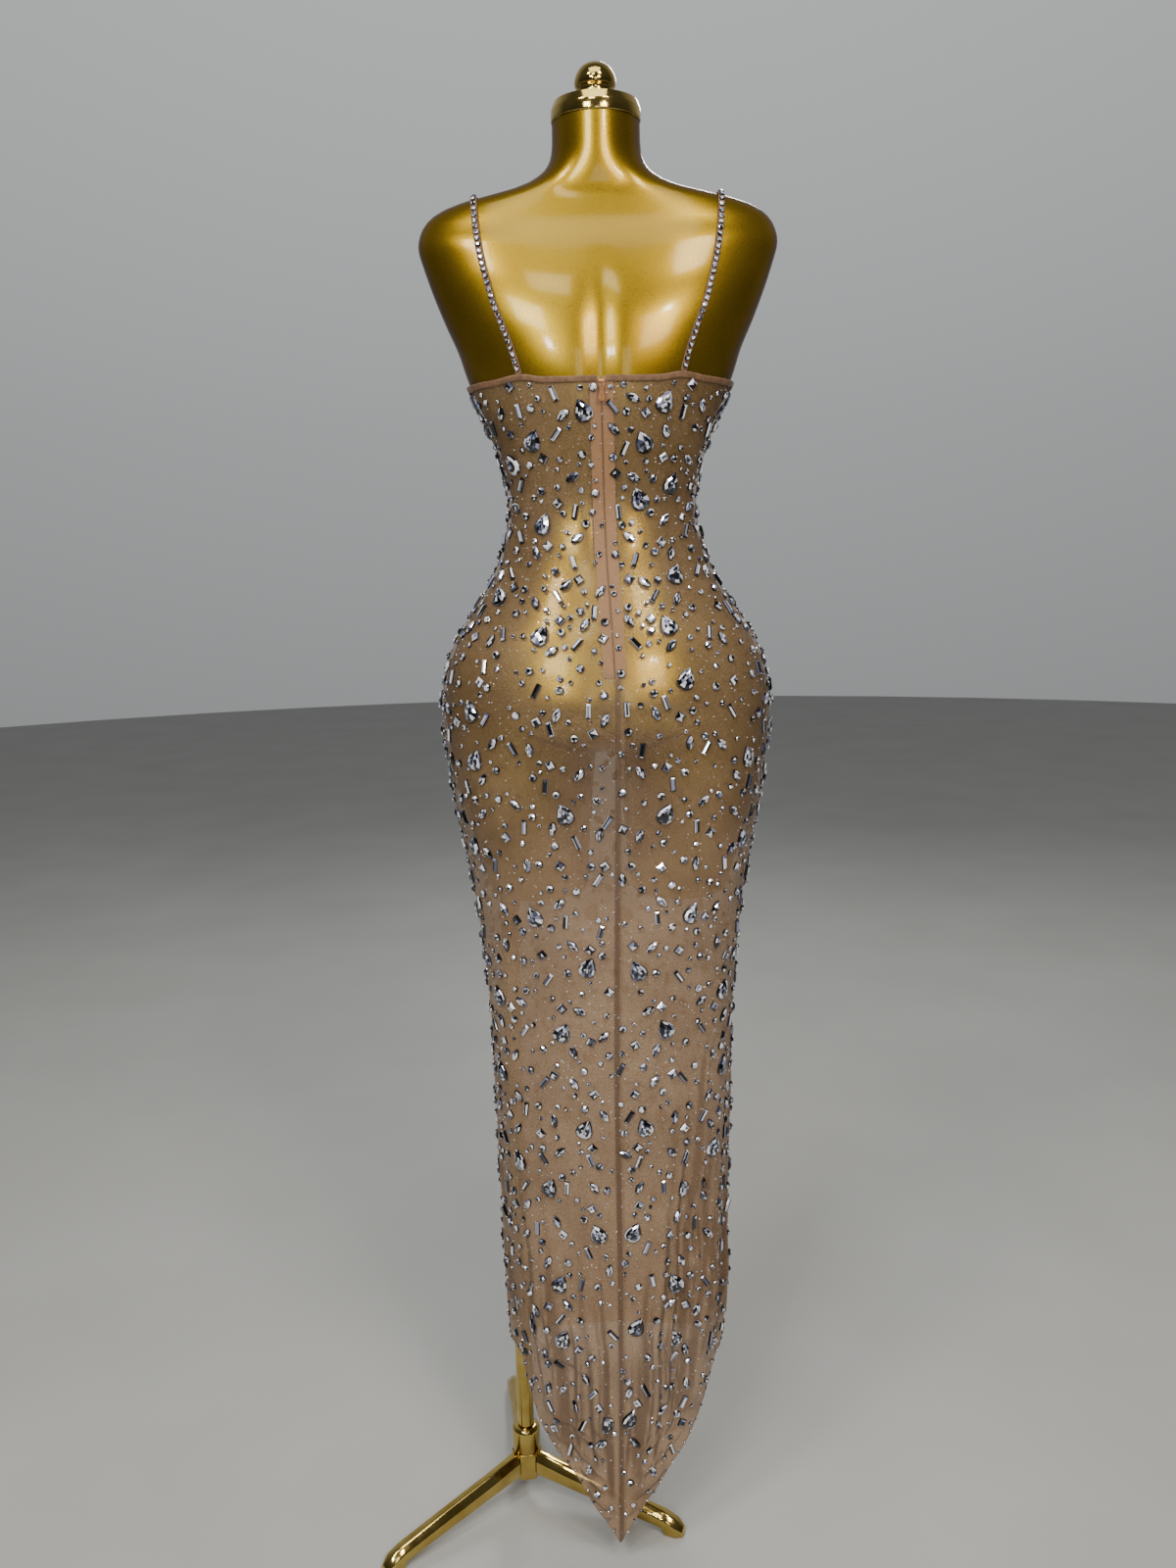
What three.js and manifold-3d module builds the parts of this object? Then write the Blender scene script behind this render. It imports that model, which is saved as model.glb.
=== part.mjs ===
// A floor-length bodycon dress on the limbless form and tripod stand that carry it, in millimetres, +Z up.
// The back of the dress, with its zip, faces -Y. The wearer's right is +X.
// Everything is laid out round the middle of the form, and the whole is then moved so that the origin
// is at the middle of its footprint, on the floor.
import * as THREE from "three";
import { mergeVertices } from "three/addons/utils/BufferGeometryUtils.js";
import Module from "manifold-3d";

const wasm = await Module();
wasm.setup();

// Cloth and the clearances round it
const WALL = 1.4;
const SEAM_GAP = 0.3;
const EASE = 3.7;
const FRONT_EASE = 4.6;
const TAPE_WALL = 1.0;

// Dress: outer face of the cloth. half is to each side, back and front are from the middle of the form,
// and power squares the section (2 is an ellipse).
const DRESS = [
  { level: 0, half: 128, back: 121, front: 88, power: 2.3 },
  { level: 150, half: 132, back: 121, front: 89, power: 2.3 },
  { level: 238, half: 134, back: 120, front: 90, power: 2.3 },
  { level: 300, half: 137, back: 119, front: 90, power: 2.3 },
  { level: 440, half: 140, back: 118, front: 90, power: 2.3 },
  { level: 570, half: 142, back: 119, front: 90, power: 2.3 },
  { level: 695, half: 146, back: 122, front: 91, power: 2.3 },
  { level: 817, half: 158, back: 127, front: 94, power: 2.3 },
  { level: 865, half: 166, back: 130, front: 96, power: 2.3 },
  { level: 912, half: 175, back: 134, front: 98, power: 2.3 },
  { level: 958, half: 181, back: 139, front: 100, power: 2.3 },
  { level: 1000, half: 186, back: 142, front: 100, power: 2.3 },
  { level: 1036, half: 187, back: 141, front: 99, power: 2.3 },
  { level: 1072, half: 182, back: 135, front: 97, power: 2.3 },
  { level: 1106, half: 169, back: 124, front: 95, power: 2.3 },
  { level: 1139, half: 148, back: 109, front: 92, power: 2.2 },
  { level: 1172, half: 127, back: 93, front: 88, power: 2.2 },
  { level: 1205, half: 114, back: 81, front: 84, power: 2.2 },
  { level: 1248, half: 105, back: 74, front: 84, power: 2.2 },
  { level: 1290, half: 110, back: 79, front: 94, power: 2.2 },
  { level: 1322, half: 120, back: 85, front: 104, power: 2.3 },
  { level: 1353, half: 134, back: 90, front: 110, power: 2.3 },
  { level: 1386, half: 148, back: 93, front: 111, power: 2.4 },
];

// Form above the dress, bare. Between this and the seat, the form is the dress less its ease.
const BARE_FORM = [
  { level: 1386, half: 144.3, back: 89.3, front: 106.4, power: 2.4 },
  { level: 1416, half: 154, back: 89, front: 103, power: 2.5 },
  { level: 1446, half: 167, back: 86, front: 96, power: 2.6 },
  { level: 1477, half: 179, back: 79, front: 86, power: 2.7 },
  { level: 1507, half: 189, back: 69, front: 74, power: 2.7 },
  { level: 1523, half: 193, back: 63, front: 66, power: 2.7 },
  { level: 1537, half: 191, back: 57, front: 59, power: 2.6 },
  { level: 1549, half: 184, back: 53, front: 53, power: 2.6 },
  { level: 1560, half: 169, back: 50, front: 48, power: 2.5 },
  { level: 1569, half: 143, back: 48, front: 45, power: 2.4 },
  { level: 1577, half: 105, back: 48, front: 43, power: 2.3 },
  { level: 1585, half: 79, back: 49, front: 42, power: 2.2 },
  { level: 1596, half: 60, back: 50, front: 42, power: 2.1 },
  { level: 1608, half: 51, back: 50.5, front: 42, power: 2 },
  { level: 1622, half: 47.5, back: 51, front: 42.5, power: 2 },
  { level: 1645.7, half: 46.8, back: 51, front: 42.5, power: 2 },
];
// Underside of the form's seat, where it rounds in between the thighs.
const SEAT = [
  { level: 986, half: 168, back: 88, front: 78, power: 2.3 },
  { level: 1000, half: 179, back: 115, front: 90, power: 2.3 },
  { level: 1017, half: 183, back: 131, front: 94.5, power: 2.3 },
];

// Thighs of the form: inner and outer side from the middle, and how far each reaches back and front.
const THIGH = [
  { level: 815, inner: 25, outer: 138, back: 76, front: 70 },
  { level: 862, inner: 22, outer: 151, back: 90, front: 72 },
  { level: 910, inner: 18, outer: 165, back: 102, front: 74 },
  { level: 952, inner: 15, outer: 175, back: 112, front: 75 },
  { level: 990, inner: 11, outer: 180, back: 117, front: 76 },
  { level: 1030, inner: 9, outer: 181, back: 118, front: 76 },
];
const THIGH_POWER = 2;

// Bust: how far it stands out of the plain section, and where.
const BUST = { depth: 20, across: 62, level: 1332, width: 40, height: 46, fade: 50 };

// Edges of the dress, as levels at a turn in degrees from the centre back.
const HEM = [
  { turn: 0, level: 26 },
  { turn: 8, level: 57 },
  { turn: 16, level: 84 },
  { turn: 27, level: 119 },
  { turn: 39, level: 152 },
  { turn: 47, level: 181 },
  { turn: 54, level: 213 },
  { turn: 63, level: 238 },
  { turn: 90, level: 243 },
  { turn: 118, level: 196 },
  { turn: 145, level: 182 },
  { turn: 180, level: 180 },
];
const HEM_BAND_TOP = 300;
const HEM_BAND_ROWS = 5;
const NECK = [
  { turn: 0, level: 1379 },
  { turn: 35, level: 1379.5 },
  { turn: 46, level: 1383 },
  { turn: 60, level: 1379.5 },
  { turn: 90, level: 1379 },
  { turn: 130, level: 1380 },
  { turn: 145, level: 1386 },
  { turn: 160, level: 1379 },
  { turn: 180, level: 1375 },
];

// Centre back seam: it wanders across as it goes down.
const BACK_SEAM = [
  { level: 0, across: -3 },
  { level: 376, across: 1 },
  { level: 618, across: 1 },
  { level: 846, across: 5 },
  { level: 1061, across: 8 },
  { level: 1123, across: 6 },
  { level: 1204, across: 2 },
  { level: 1332, across: 0 },
  { level: 1386, across: 0 },
];

// Largest folds of the skirt: each runs from its low end to its high end, at a turn from the centre back
// that may change on the way. depth is out of the wall, or into it where it is negative.
const FOLDS = [
  { low: 190, high: 760, turnLow: 44, turnHigh: 62, width: 13, depth: 6 },
  { low: 170, high: 700, turnLow: 29, turnHigh: 46, width: 12, depth: -6 },
  { low: 90, high: 520, turnLow: 15, turnHigh: 29, width: 12, depth: 5 },
  { low: 60, high: 420, turnLow: -9, turnHigh: -16, width: 11, depth: 5 },
  { low: 90, high: 470, turnLow: -22, turnHigh: -30, width: 11, depth: -5 },
  { low: 160, high: 640, turnLow: -40, turnHigh: -52, width: 13, depth: 5 },
  { low: 200, high: 560, turnLow: -62, turnHigh: -74, width: 13, depth: -5 },
  { low: 200, high: 620, turnLow: 132, turnHigh: 124, width: 15, depth: 6 },
  { low: 185, high: 560, turnLow: 162, turnHigh: 158, width: 15, depth: -5 },
  { low: 185, high: 600, turnLow: 196, turnHigh: 204, width: 15, depth: 5 },
  { low: 190, high: 540, turnLow: 226, turnHigh: 233, width: 15, depth: -5 },
];

// Large drop-shaped stones. left and right are across from the middle, and rise lifts the right one.
const PEARS = [
  { level: 1346, left: 20, right: 66, rise: 8 },
  { level: 1318, left: 73, right: 43, rise: -4 },
  { level: 1296, left: 96, right: 73, rise: -24 },
  { level: 1232, left: 64, right: 38, rise: 24 },
  { level: 1156, left: 113, right: 75, rise: 20 },
  { level: 1116, left: 69, right: 65, rise: 8 },
  { level: 1036, left: 146, right: 83, rise: 33 },
  { level: 983, left: 143, right: 152, rise: -3 },
  { level: 928, left: 48, right: 60, rise: -2 },
  { level: 882, left: 150, right: 148, rise: 3 },
  { level: 810, left: 84, right: 88, rise: 0 },
  { level: 754, left: 26, right: 28, rise: -5 },
  { level: 704, left: 128, right: 125, rise: 4 },
  { level: 676, left: 56, right: 58, rise: 2 },
  { level: 609, left: 128, right: 124, rise: 6 },
  { level: 561, left: 33, right: 34, rise: 1 },
  { level: 509, left: 108, right: 112, rise: 10 },
  { level: 484, left: 75, right: 79, rise: -5 },
  { level: 432, left: 21, right: 20, rise: 1 },
  { level: 363, left: 67, right: 68, rise: -1 },
  { level: 303, left: 98, right: 22, rise: 10 },
  { level: 291, left: 66, right: 69, rise: -3 },
  { level: 191, left: 15, right: 12, rise: 3 },
];
const PEAR = { width: 15, length: 19, sunk: 1.05, proud: 2.6, table: 0.55, fan: 24 };
const PEAR_OUTLINE_TURNS = [0, 70, 125, 180, 235, 290];
const FRONT_STONES = { above: 215, within: 100 };

// Straps: across and turn of each in the plane from back to front, from straight back over the top.
const STRAP = [
  { turn: -38, across: 85 },
  { turn: -5, across: 101 },
  { turn: 20, across: 112 },
  { turn: 90, across: 130 },
  { turn: 165, across: 106 },
  { turn: 206, across: 76 },
];
const STRAP_CENTRE = { depth: -6, level: 1440 };
const STRAP_SIZE = { width: 7, wall: 1.4, gap: 1.3, steps: 34, clearOfEdge: 2 };

const BINDING = { height: 5.5, wall: 1.2, zipHalf: 5 };

// Zip
const ZIP = { top: 1376, bottom: 1072, tape: 12, gap: 0.45 };
const SLIDER = { level: 1371, width: 6, height: 10, wall: 2.2, pinLevel: 1373.5, pinOut: 5, pinRadius: 0.65 };
const EAR = { wall: 1, radius: 1.7, gap: 0.35 };
const TAB = { eye: 3.2, eyeRadius: 1.7, length: 20, width: 6.5, neck: 2.4, wall: 1.2 };

// Neck cap and finial: radius of the turning at each height
const NECK_DEPTH = -4.25;
const CAP_PROFILE = [
  { radius: 46.5, level: 1646 },
  { radius: 47.8, level: 1648 },
  { radius: 47.8, level: 1658 },
  { radius: 44.6, level: 1666 },
];
const FINIAL_PROFILE = [
  { radius: 22, level: 1666.3 },
  { radius: 22, level: 1671 },
  { radius: 19, level: 1674 },
  { radius: 19, level: 1678 },
  { radius: 21.8, level: 1683 },
  { radius: 21.6, level: 1689 },
  { radius: 19.6, level: 1695 },
  { radius: 15.5, level: 1700.5 },
  { radius: 9, level: 1704.6 },
];
const FINIAL_TOP = 1706;

// Stand
const POLE = { across: -119, radius: 10.5, gap: 0.3 };
const COLLAR = { bottom: 64, top: 98, radius: 17.7 };
const HUB = { bottom: 28, top: 63.7, flats: 34 };
const LEG_TURNS = [218, 338, 98];
const LEG_HALF = 11;
const LEG = [
  { reach: 17.3, under: 36, shoulder: 54, top: 63 },
  { reach: 60, under: 29, shoulder: 44, top: 53 },
  { reach: 120, under: 19, shoulder: 33, top: 41 },
  { reach: 186, under: 8.5, shoulder: 20, top: 27 },
  { reach: 190, under: 0, shoulder: 19, top: 26 },
  { reach: 204, under: 0, shoulder: 13, top: 20 },
  { reach: 213, under: 0, shoulder: 5, top: 10 },
];
const LEG_TIP = 0.62;
const LEG_RIDGE = 0.36;

const degrees = THREE.MathUtils.degToRad;
const clamp = THREE.MathUtils.clamp;

// A smooth curve through one column of a table, as a function of the table's key.
function smooth(rows, name, key = "level") {
  const at = rows.map((row) => row[key]);
  const value = rows.map((row) => row[name]);
  const last = rows.length - 1;
  const slope = value.map((_, i) => {
    const before = Math.max(i - 1, 0);
    const after = Math.min(i + 1, last);
    return (value[after] - value[before]) / (at[after] - at[before]);
  });
  return (place) => {
    let i = 0;
    while (i < last - 1 && place > at[i + 1]) i++;
    const span = at[i + 1] - at[i];
    const t = clamp((place - at[i]) / span, 0, 1);
    const rise = value[i + 1] - value[i];
    const lead = span * slope[i] - rise;
    const trail = rise - span * slope[i + 1];
    return value[i] + rise * t + t * (1 - t) * (lead * (1 - t) + trail * t);
  };
}

const SECTION_COLUMNS = ["half", "back", "front", "power"];
const sectionOf = (rows) => {
  const columns = SECTION_COLUMNS.map((name) => smooth(rows, name));
  return (level) => columns.map((column) => column(level));
};
const dressSection = sectionOf(DRESS);
const eased = (row) => ({
  ...row,
  half: row.half - EASE,
  back: row.back - EASE,
  front: row.front - FRONT_EASE,
});
const isCovered = ({ level }) => level > SEAT.at(-1).level && level < BARE_FORM[0].level;
const FORM = [...SEAT, ...DRESS.filter(isCovered).map(eased), ...BARE_FORM];
const formSection = sectionOf(FORM);

const hemAt = smooth(HEM, "level", "turn");
const neckAt = smooth(NECK, "level", "turn");
const seamAt = smooth(BACK_SEAM, "across");

// How far the bust stands in front of the plain section at a point of it.
function bustAt(across, depth, level) {
  const side = (Math.abs(across) - BUST.across) / BUST.width;
  const up = (level - BUST.level) / BUST.height;
  const fade = clamp(depth / BUST.fade, 0, 1);
  return BUST.depth * Math.exp(-side * side - up * up) * fade * fade;
}

// A point of a section, at an angle in degrees from +X towards +Y.
function sectionPoint([half, back, front, power], angle, level) {
  const c = Math.cos(degrees(angle));
  const s = Math.sin(degrees(angle));
  const deep = s < 0 ? back : front;
  const sum = Math.abs(c / half) ** power + Math.abs(s / deep) ** power;
  const radius = sum ** (-1 / power);
  const depth = radius * s;
  return new THREE.Vector3(radius * c, depth + bustAt(radius * c, depth, level), level);
}

// Turn from the centre back, from -180 to 180, of an angle from +X.
const turnOf = (angle) => ((((angle + 90) % 360) + 540) % 360) - 180;

// Sum of the folds at a place of the dress wall.
function foldAt(angle, level) {
  return FOLDS.reduce((sum, fold) => {
    if (level <= fold.low || level >= fold.high) return sum;
    const along = (level - fold.low) / (fold.high - fold.low);
    const middle = THREE.MathUtils.lerp(fold.turnLow, fold.turnHigh, along);
    const off = Math.abs(turnOf(angle - middle)) / fold.width;
    if (off >= 1) return sum;
    const across = Math.cos((off * Math.PI) / 2) ** 2;
    return sum + fold.depth * across * Math.sin(Math.PI * Math.sqrt(along));
  }, 0);
}

function dressFace(angle, level) {
  const point = sectionPoint(dressSection(level), angle, level);
  const fold = foldAt(angle, level);
  point.x += fold * Math.cos(degrees(angle));
  point.y += fold * Math.sin(degrees(angle));
  return point;
}

const formFace = (angle, level) => sectionPoint(formSection(level), angle, level);

// Outward normal of a face that is given by angle and level.
function normalOf(face, angle, level) {
  const step = 1;
  const round = face(angle + step, level).sub(face(angle - step, level));
  const up = face(angle, level + step).sub(face(angle, level - step));
  return round.cross(up).normalize();
}

// A point of the dress, moved out of the cloth's outer face by a distance.
const onDress = (angle, level, out) =>
  dressFace(angle, level).addScaledVector(normalOf(dressFace, angle, level), out);

// Angle on the back of the dress of a place that lies across from its middle.
function backAngle(across, level) {
  const [half, back, , power] = dressSection(level);
  const share = clamp(Math.abs(across) / half, 0, 0.999);
  return (Math.atan2(-back * (1 - share ** power) ** (1 / power), across) * 180) / Math.PI;
}

function indexed(points, faces) {
  const geometry = new THREE.BufferGeometry();
  geometry.setAttribute("position", new THREE.Float32BufferAttribute(points.flatMap((p) => p.toArray()), 3));
  geometry.setIndex(faces);
  return geometry;
}

// A closed wall between two grids with the same rows and columns. Seen from outside, columns run to the
// right and rows run up.
function wall(outer, inner) {
  const rows = outer.length;
  const columns = outer[0].length;
  const out = (row, column) => row * columns + column;
  const into = (row, column) => rows * columns + row * columns + column;
  const faces = [];
  const quad = (a, b, c, d) => faces.push(a, b, c, a, c, d);
  for (let row = 0; row < rows - 1; row++)
    for (let column = 0; column < columns - 1; column++) {
      quad(out(row, column), out(row, column + 1), out(row + 1, column + 1), out(row + 1, column));
      quad(into(row, column), into(row + 1, column), into(row + 1, column + 1), into(row, column + 1));
    }
  for (let column = 0; column < columns - 1; column++) {
    quad(into(0, column), into(0, column + 1), out(0, column + 1), out(0, column));
    const top = rows - 1;
    quad(out(top, column), out(top, column + 1), into(top, column + 1), into(top, column));
  }
  for (let row = 0; row < rows - 1; row++) {
    quad(into(row, 0), out(row, 0), out(row + 1, 0), into(row + 1, 0));
    const side = columns - 1;
    quad(out(row, side), into(row, side), into(row + 1, side), out(row + 1, side));
  }
  return indexed([...outer.flat(), ...inner.flat()], faces);
}

// A closed solid through rings of points. Each ring runs anticlockwise seen from the last ring's side.
function loft(rings) {
  const count = rings[0].length;
  const faces = [];
  rings.slice(1).forEach((_, ring) => {
    for (let i = 0; i < count; i++) {
      const low = ring * count;
      const next = (i + 1) % count;
      faces.push(low + i, low + next, low + count + next, low + i, low + count + next, low + count + i);
    }
  });
  const top = (rings.length - 1) * count;
  for (let i = 1; i < count - 1; i++) {
    faces.push(0, i + 1, i);
    faces.push(top, top + i, top + i + 1);
  }
  return indexed(rings.flat(), faces);
}

// The same shape as a solid that can be joined to another or cut by it.
function solidOf(geometry) {
  const plain = geometry.clone();
  plain.deleteAttribute("normal");
  plain.deleteAttribute("uv");
  const merged = mergeVertices(plain, 1e-4);
  return new wasm.Manifold(
    new wasm.Mesh({
      numProp: 3,
      vertProperties: new Float32Array(merged.getAttribute("position").array),
      triVerts: new Uint32Array(merged.index.array),
    }),
  );
}

function geometryOf(solid) {
  const mesh = solid.getMesh();
  const geometry = new THREE.BufferGeometry();
  geometry.setAttribute("position", new THREE.BufferAttribute(new Float32Array(mesh.vertProperties), 3));
  geometry.setIndex(new THREE.BufferAttribute(new Uint32Array(mesh.triVerts), 1));
  return geometry;
}

const joined = (geometries) =>
  geometryOf(geometries.map(solidOf).reduce((sum, solid) => sum.add(solid)));

const numbersTo = (count) => Array.from({ length: count + 1 }, (_, i) => i);

// Edges of the panels. A seam keeps half of its gap on each side.
const backEdge = (side) => (level) => backAngle(seamAt(level) + (side * SEAM_GAP) / 2, level);
const sideGapAngle = (level) => (((SEAM_GAP / 2) * 180) / Math.PI) / dressSection(level)[0];
const rightSideEdge = (side) => (level) => side * sideGapAngle(level);
const leftSideEdge = (side) => (level) => 180 + side * sideGapAngle(level);

// The panels, seen from outside, each from its left edge to its right one.
const PANELS = {
  backLeft: { left: (level) => leftSideEdge(1)(level) - 360, right: backEdge(-1), columns: 13 },
  backRight: { left: backEdge(1), right: rightSideEdge(-1), columns: 13 },
  front: { left: rightSideEdge(1), right: leftSideEdge(-1), columns: 20 },
};
const angleIn = ({ left, right }, share, level) => THREE.MathUtils.lerp(left(level), right(level), share);

// One panel of the dress, as a wall.
function panelWall(panel) {
  const levels = DRESS.map((row) => row.level).filter((level) => level > HEM_BAND_TOP);
  const top = levels.pop();
  const turnAt = (share, level) => Math.abs(turnOf(angleIn(panel, share, level)));
  const columnLevels = (share) => {
    const hem = hemAt(turnAt(share, HEM_BAND_TOP / 2));
    const band = numbersTo(HEM_BAND_ROWS).map((i) =>
      THREE.MathUtils.lerp(hem, HEM_BAND_TOP, i / HEM_BAND_ROWS),
    );
    const neck = neckAt(turnAt(share, top));
    return [...band, ...levels, neck - BINDING.height, neck];
  };
  const places = numbersTo(panel.columns)
    .map((i) => i / panel.columns)
    .map((share) => ({ share, levels: columnLevels(share) }));
  const grid = (out) =>
    places[0].levels.map((_, row) =>
      places.map(({ share, levels: own }) => {
        const level = own[row];
        return onDress(angleIn(panel, share, level), level, out);
      }),
    );
  return wall(grid(0), grid(-WALL));
}

// A drop-shaped stone, with its flat back sunk into the wall.
function pear(angle, level, lean) {
  const up = new THREE.Vector3(0, 0, 1);
  const normal = normalOf(dressFace, angle, level);
  const side = up.clone().cross(normal).normalize();
  const along = normal.clone().cross(side).applyAxisAngle(normal, degrees(lean));
  side.applyAxisAngle(normal, degrees(lean));
  const centre = dressFace(angle, level);
  const ring = (out, scale) =>
    PEAR_OUTLINE_TURNS.map((turn) => {
      const t = degrees(turn);
      const across = -Math.sin(t) * Math.sin(t / 2) * (PEAR.width / 2) * 1.3;
      return centre
        .clone()
        .addScaledVector(side, across * scale)
        .addScaledVector(along, Math.cos(t) * (PEAR.length / 2) * scale)
        .addScaledVector(normal, out);
    });
  return loft([ring(-PEAR.sunk, 1), ring(PEAR.proud, PEAR.table)]);
}

// The stones of the back, each at its angle, with a lean that fans them out from the middle.
const BACK_PEARS = PEARS.flatMap(({ level, left, right, rise }, row) => {
  const lean = (row % 2 ? 1 : -1) * PEAR.fan;
  const stone = (across, own, turn) => ({ across, angle: backAngle(across, own), level: own, lean: turn });
  return [stone(-left, level, lean), stone(right, level + rise, -lean)];
});
// The front has the same stones, turned round to it, but for those at its sides.
const FRONT_PEARS = BACK_PEARS.filter(
  ({ across, level }) => level > FRONT_STONES.above && Math.abs(across) < FRONT_STONES.within,
).map((stone) => ({ ...stone, angle: -stone.angle, lean: -stone.lean }));

// A panel with the stones that lie on it raised in its outer face.
function stonedPanel(panel, stones) {
  return joined([panelWall(panel), ...stones.map(({ angle, level, lean }) => pear(angle, level, lean))]);
}

// Binding round the neckline, from one side of the zip round the front to the other, through the columns
// of the panels.
function bindingGeometry() {
  const topLevel = DRESS.at(-1).level;
  const { backLeft, backRight, front } = PANELS;
  const inner = (panel) =>
    numbersTo(panel.columns)
      .slice(1, -1)
      .map((i) => angleIn(panel, i / panel.columns, topLevel));
  const angles = [
    backAngle(BINDING.zipHalf, topLevel),
    ...inner(backRight),
    0,
    ...inner(front),
    180,
    ...inner(backLeft).map((angle) => angle + 360),
    backAngle(-BINDING.zipHalf, topLevel) + 360,
  ];
  return loft(
    angles.map((angle) => {
      const top = neckAt(Math.abs(turnOf(angle)));
      const low = top - BINDING.height;
      const far = SEAM_GAP + BINDING.wall;
      return [
        onDress(angle, low, SEAM_GAP),
        onDress(angle, top, SEAM_GAP),
        onDress(angle, top, far),
        onDress(angle, low, far),
      ];
    }),
  );
}

// Zip tape: inside the back panels, beside the seam, with its rings at the rows of the panels.
function tapeGeometry(side) {
  const near = -WALL - ZIP.gap;
  const far = near - TAPE_WALL;
  const rows = DRESS.map((row) => row.level).filter((level) => level >= ZIP.bottom && level < ZIP.top);
  const rings = [...rows, ZIP.top].map((level) => {
    const middle = seamAt(level);
    const edges = [middle + side * SEAM_GAP, middle + side * ZIP.tape].sort((a, b) => a - b);
    const [left, right] = edges.map((across) => backAngle(across, level));
    return [
      onDress(left, level, near),
      onDress(right, level, near),
      onDress(right, level, far),
      onDress(left, level, far),
    ];
  });
  return loft(rings);
}

// Less than 1 inside the form, more than 1 outside it.
function formField(point) {
  const [half, back, front, power] = formSection(clamp(point.z, FORM[0].level, FORM.at(-1).level));
  const depth = point.y < 0 ? point.y / back : (point.y - bustAt(point.x, point.y, point.z)) / front;
  return Math.abs(point.x / half) ** power + Math.abs(depth) ** power;
}

function fieldNormal(point) {
  const step = 0.5;
  const slope = ["x", "y", "z"].map((axis) => {
    const ahead = point.clone();
    const behind = point.clone();
    ahead[axis] += step;
    behind[axis] -= step;
    return formField(ahead) - formField(behind);
  });
  return new THREE.Vector3(...slope).normalize();
}

const strapAcross = smooth(STRAP, "across", "turn");

// The place on the form under the middle of the right strap, at a turn over the shoulder.
function strapPlace(turn) {
  const t = degrees(turn);
  const place = (reach) =>
    new THREE.Vector3(
      strapAcross(turn),
      STRAP_CENTRE.depth - reach * Math.cos(t),
      STRAP_CENTRE.level + reach * Math.sin(t),
    );
  let inside = 0;
  let outside = 220;
  for (let i = 0; i < 40; i++) {
    const middle = (inside + outside) / 2;
    if (formField(place(middle)) < 1) inside = middle;
    else outside = middle;
  }
  return place(inside);
}

// The turn at which the strap comes down to a level, on the back or the front.
function strapTurnAt(level, low, high) {
  const rising = strapPlace(high).z > strapPlace(low).z;
  for (let i = 0; i < 40; i++) {
    const middle = (low + high) / 2;
    if (strapPlace(middle).z < level === rising) low = middle;
    else high = middle;
  }
  return (low + high) / 2;
}

function strapGeometry(side) {
  const neckline = (turn) => {
    const { x, y } = strapPlace(turn);
    return neckAt(Math.abs(turnOf((Math.atan2(y, x) * 180) / Math.PI)));
  };
  const first = STRAP[0].turn;
  const last = STRAP.at(-1).turn;
  const start = strapTurnAt(neckline(first) + STRAP_SIZE.clearOfEdge, first, 60);
  const end = strapTurnAt(neckline(last) + STRAP_SIZE.clearOfEdge, 120, last);
  const corners = (share) => {
    const turn = THREE.MathUtils.lerp(start, end, share);
    const place = strapPlace(turn);
    const along = strapPlace(turn + 1).sub(strapPlace(turn - 1)).normalize();
    const normal = fieldNormal(place);
    const across = along.clone().cross(normal).normalize();
    const corner = (sideways, out) => {
      const point = place.clone().addScaledVector(across, (sideways * STRAP_SIZE.width) / 2);
      point.addScaledVector(normal, out);
      point.x *= side;
      return point;
    };
    const near = STRAP_SIZE.gap;
    const far = STRAP_SIZE.gap + STRAP_SIZE.wall;
    const ring = [corner(-1, near), corner(1, near), corner(1, far), corner(-1, far)];
    return side > 0 ? ring.reverse() : ring;
  };
  return loft(numbersTo(STRAP_SIZE.steps).map((i) => corners(i / STRAP_SIZE.steps)));
}

// Form: torso, neck and two thigh ends, joined into one.
function formGeometry() {
  const sides = 40;
  const torso = loft(
    FORM.map(({ level }) => numbersTo(sides - 1).map((i) => formFace((i * 360) / sides, level))),
  );
  const thigh = (side) => {
    const count = 20;
    return loft(
      THIGH.map(({ level, inner, outer, back, front }) => {
        const middle = (side * (inner + outer)) / 2;
        const section = [(outer - inner) / 2, back, front, THIGH_POWER];
        return numbersTo(count - 1).map((i) => {
          const point = sectionPoint(section, (i * 360) / count, level);
          point.x += middle;
          return point;
        });
      }),
    );
  };
  return joined([torso, thigh(-1), thigh(1)]);
}

// A turned solid on the vertical line through the origin, from a table of radius and level.
function turned(rows, top, segments) {
  const points = [
    new THREE.Vector2(0, rows[0].level),
    ...rows.map(({ radius, level }) => new THREE.Vector2(radius, level)),
    new THREE.Vector2(0, top),
  ];
  return new THREE.LatheGeometry(points, segments).rotateX(Math.PI / 2);
}

function prism(points, height, bottom) {
  const shape = new THREE.Shape(points);
  const geometry = new THREE.ExtrudeGeometry(shape, { depth: height, bevelEnabled: false });
  return geometry.translate(0, 0, bottom);
}

function cylinder(radius, bottom, top, segments) {
  return new THREE.CylinderGeometry(radius, radius, top - bottom, segments)
    .rotateX(Math.PI / 2)
    .translate(0, 0, (top + bottom) / 2);
}

// A leg along +X from the hub: a house-shaped bar that drops to the floor at its end.
function legGeometry() {
  return loft(
    LEG.map(({ reach, under, shoulder, top }, i) => {
      const half = i === LEG.length - 1 ? LEG_HALF * LEG_TIP : LEG_HALF;
      const ridge = half * LEG_RIDGE;
      return [
        new THREE.Vector3(reach, -half, under),
        new THREE.Vector3(reach, half, under),
        new THREE.Vector3(reach, half, shoulder),
        new THREE.Vector3(reach, ridge, top),
        new THREE.Vector3(reach, -ridge, top),
        new THREE.Vector3(reach, -half, shoulder),
      ];
    }),
  );
}

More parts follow.
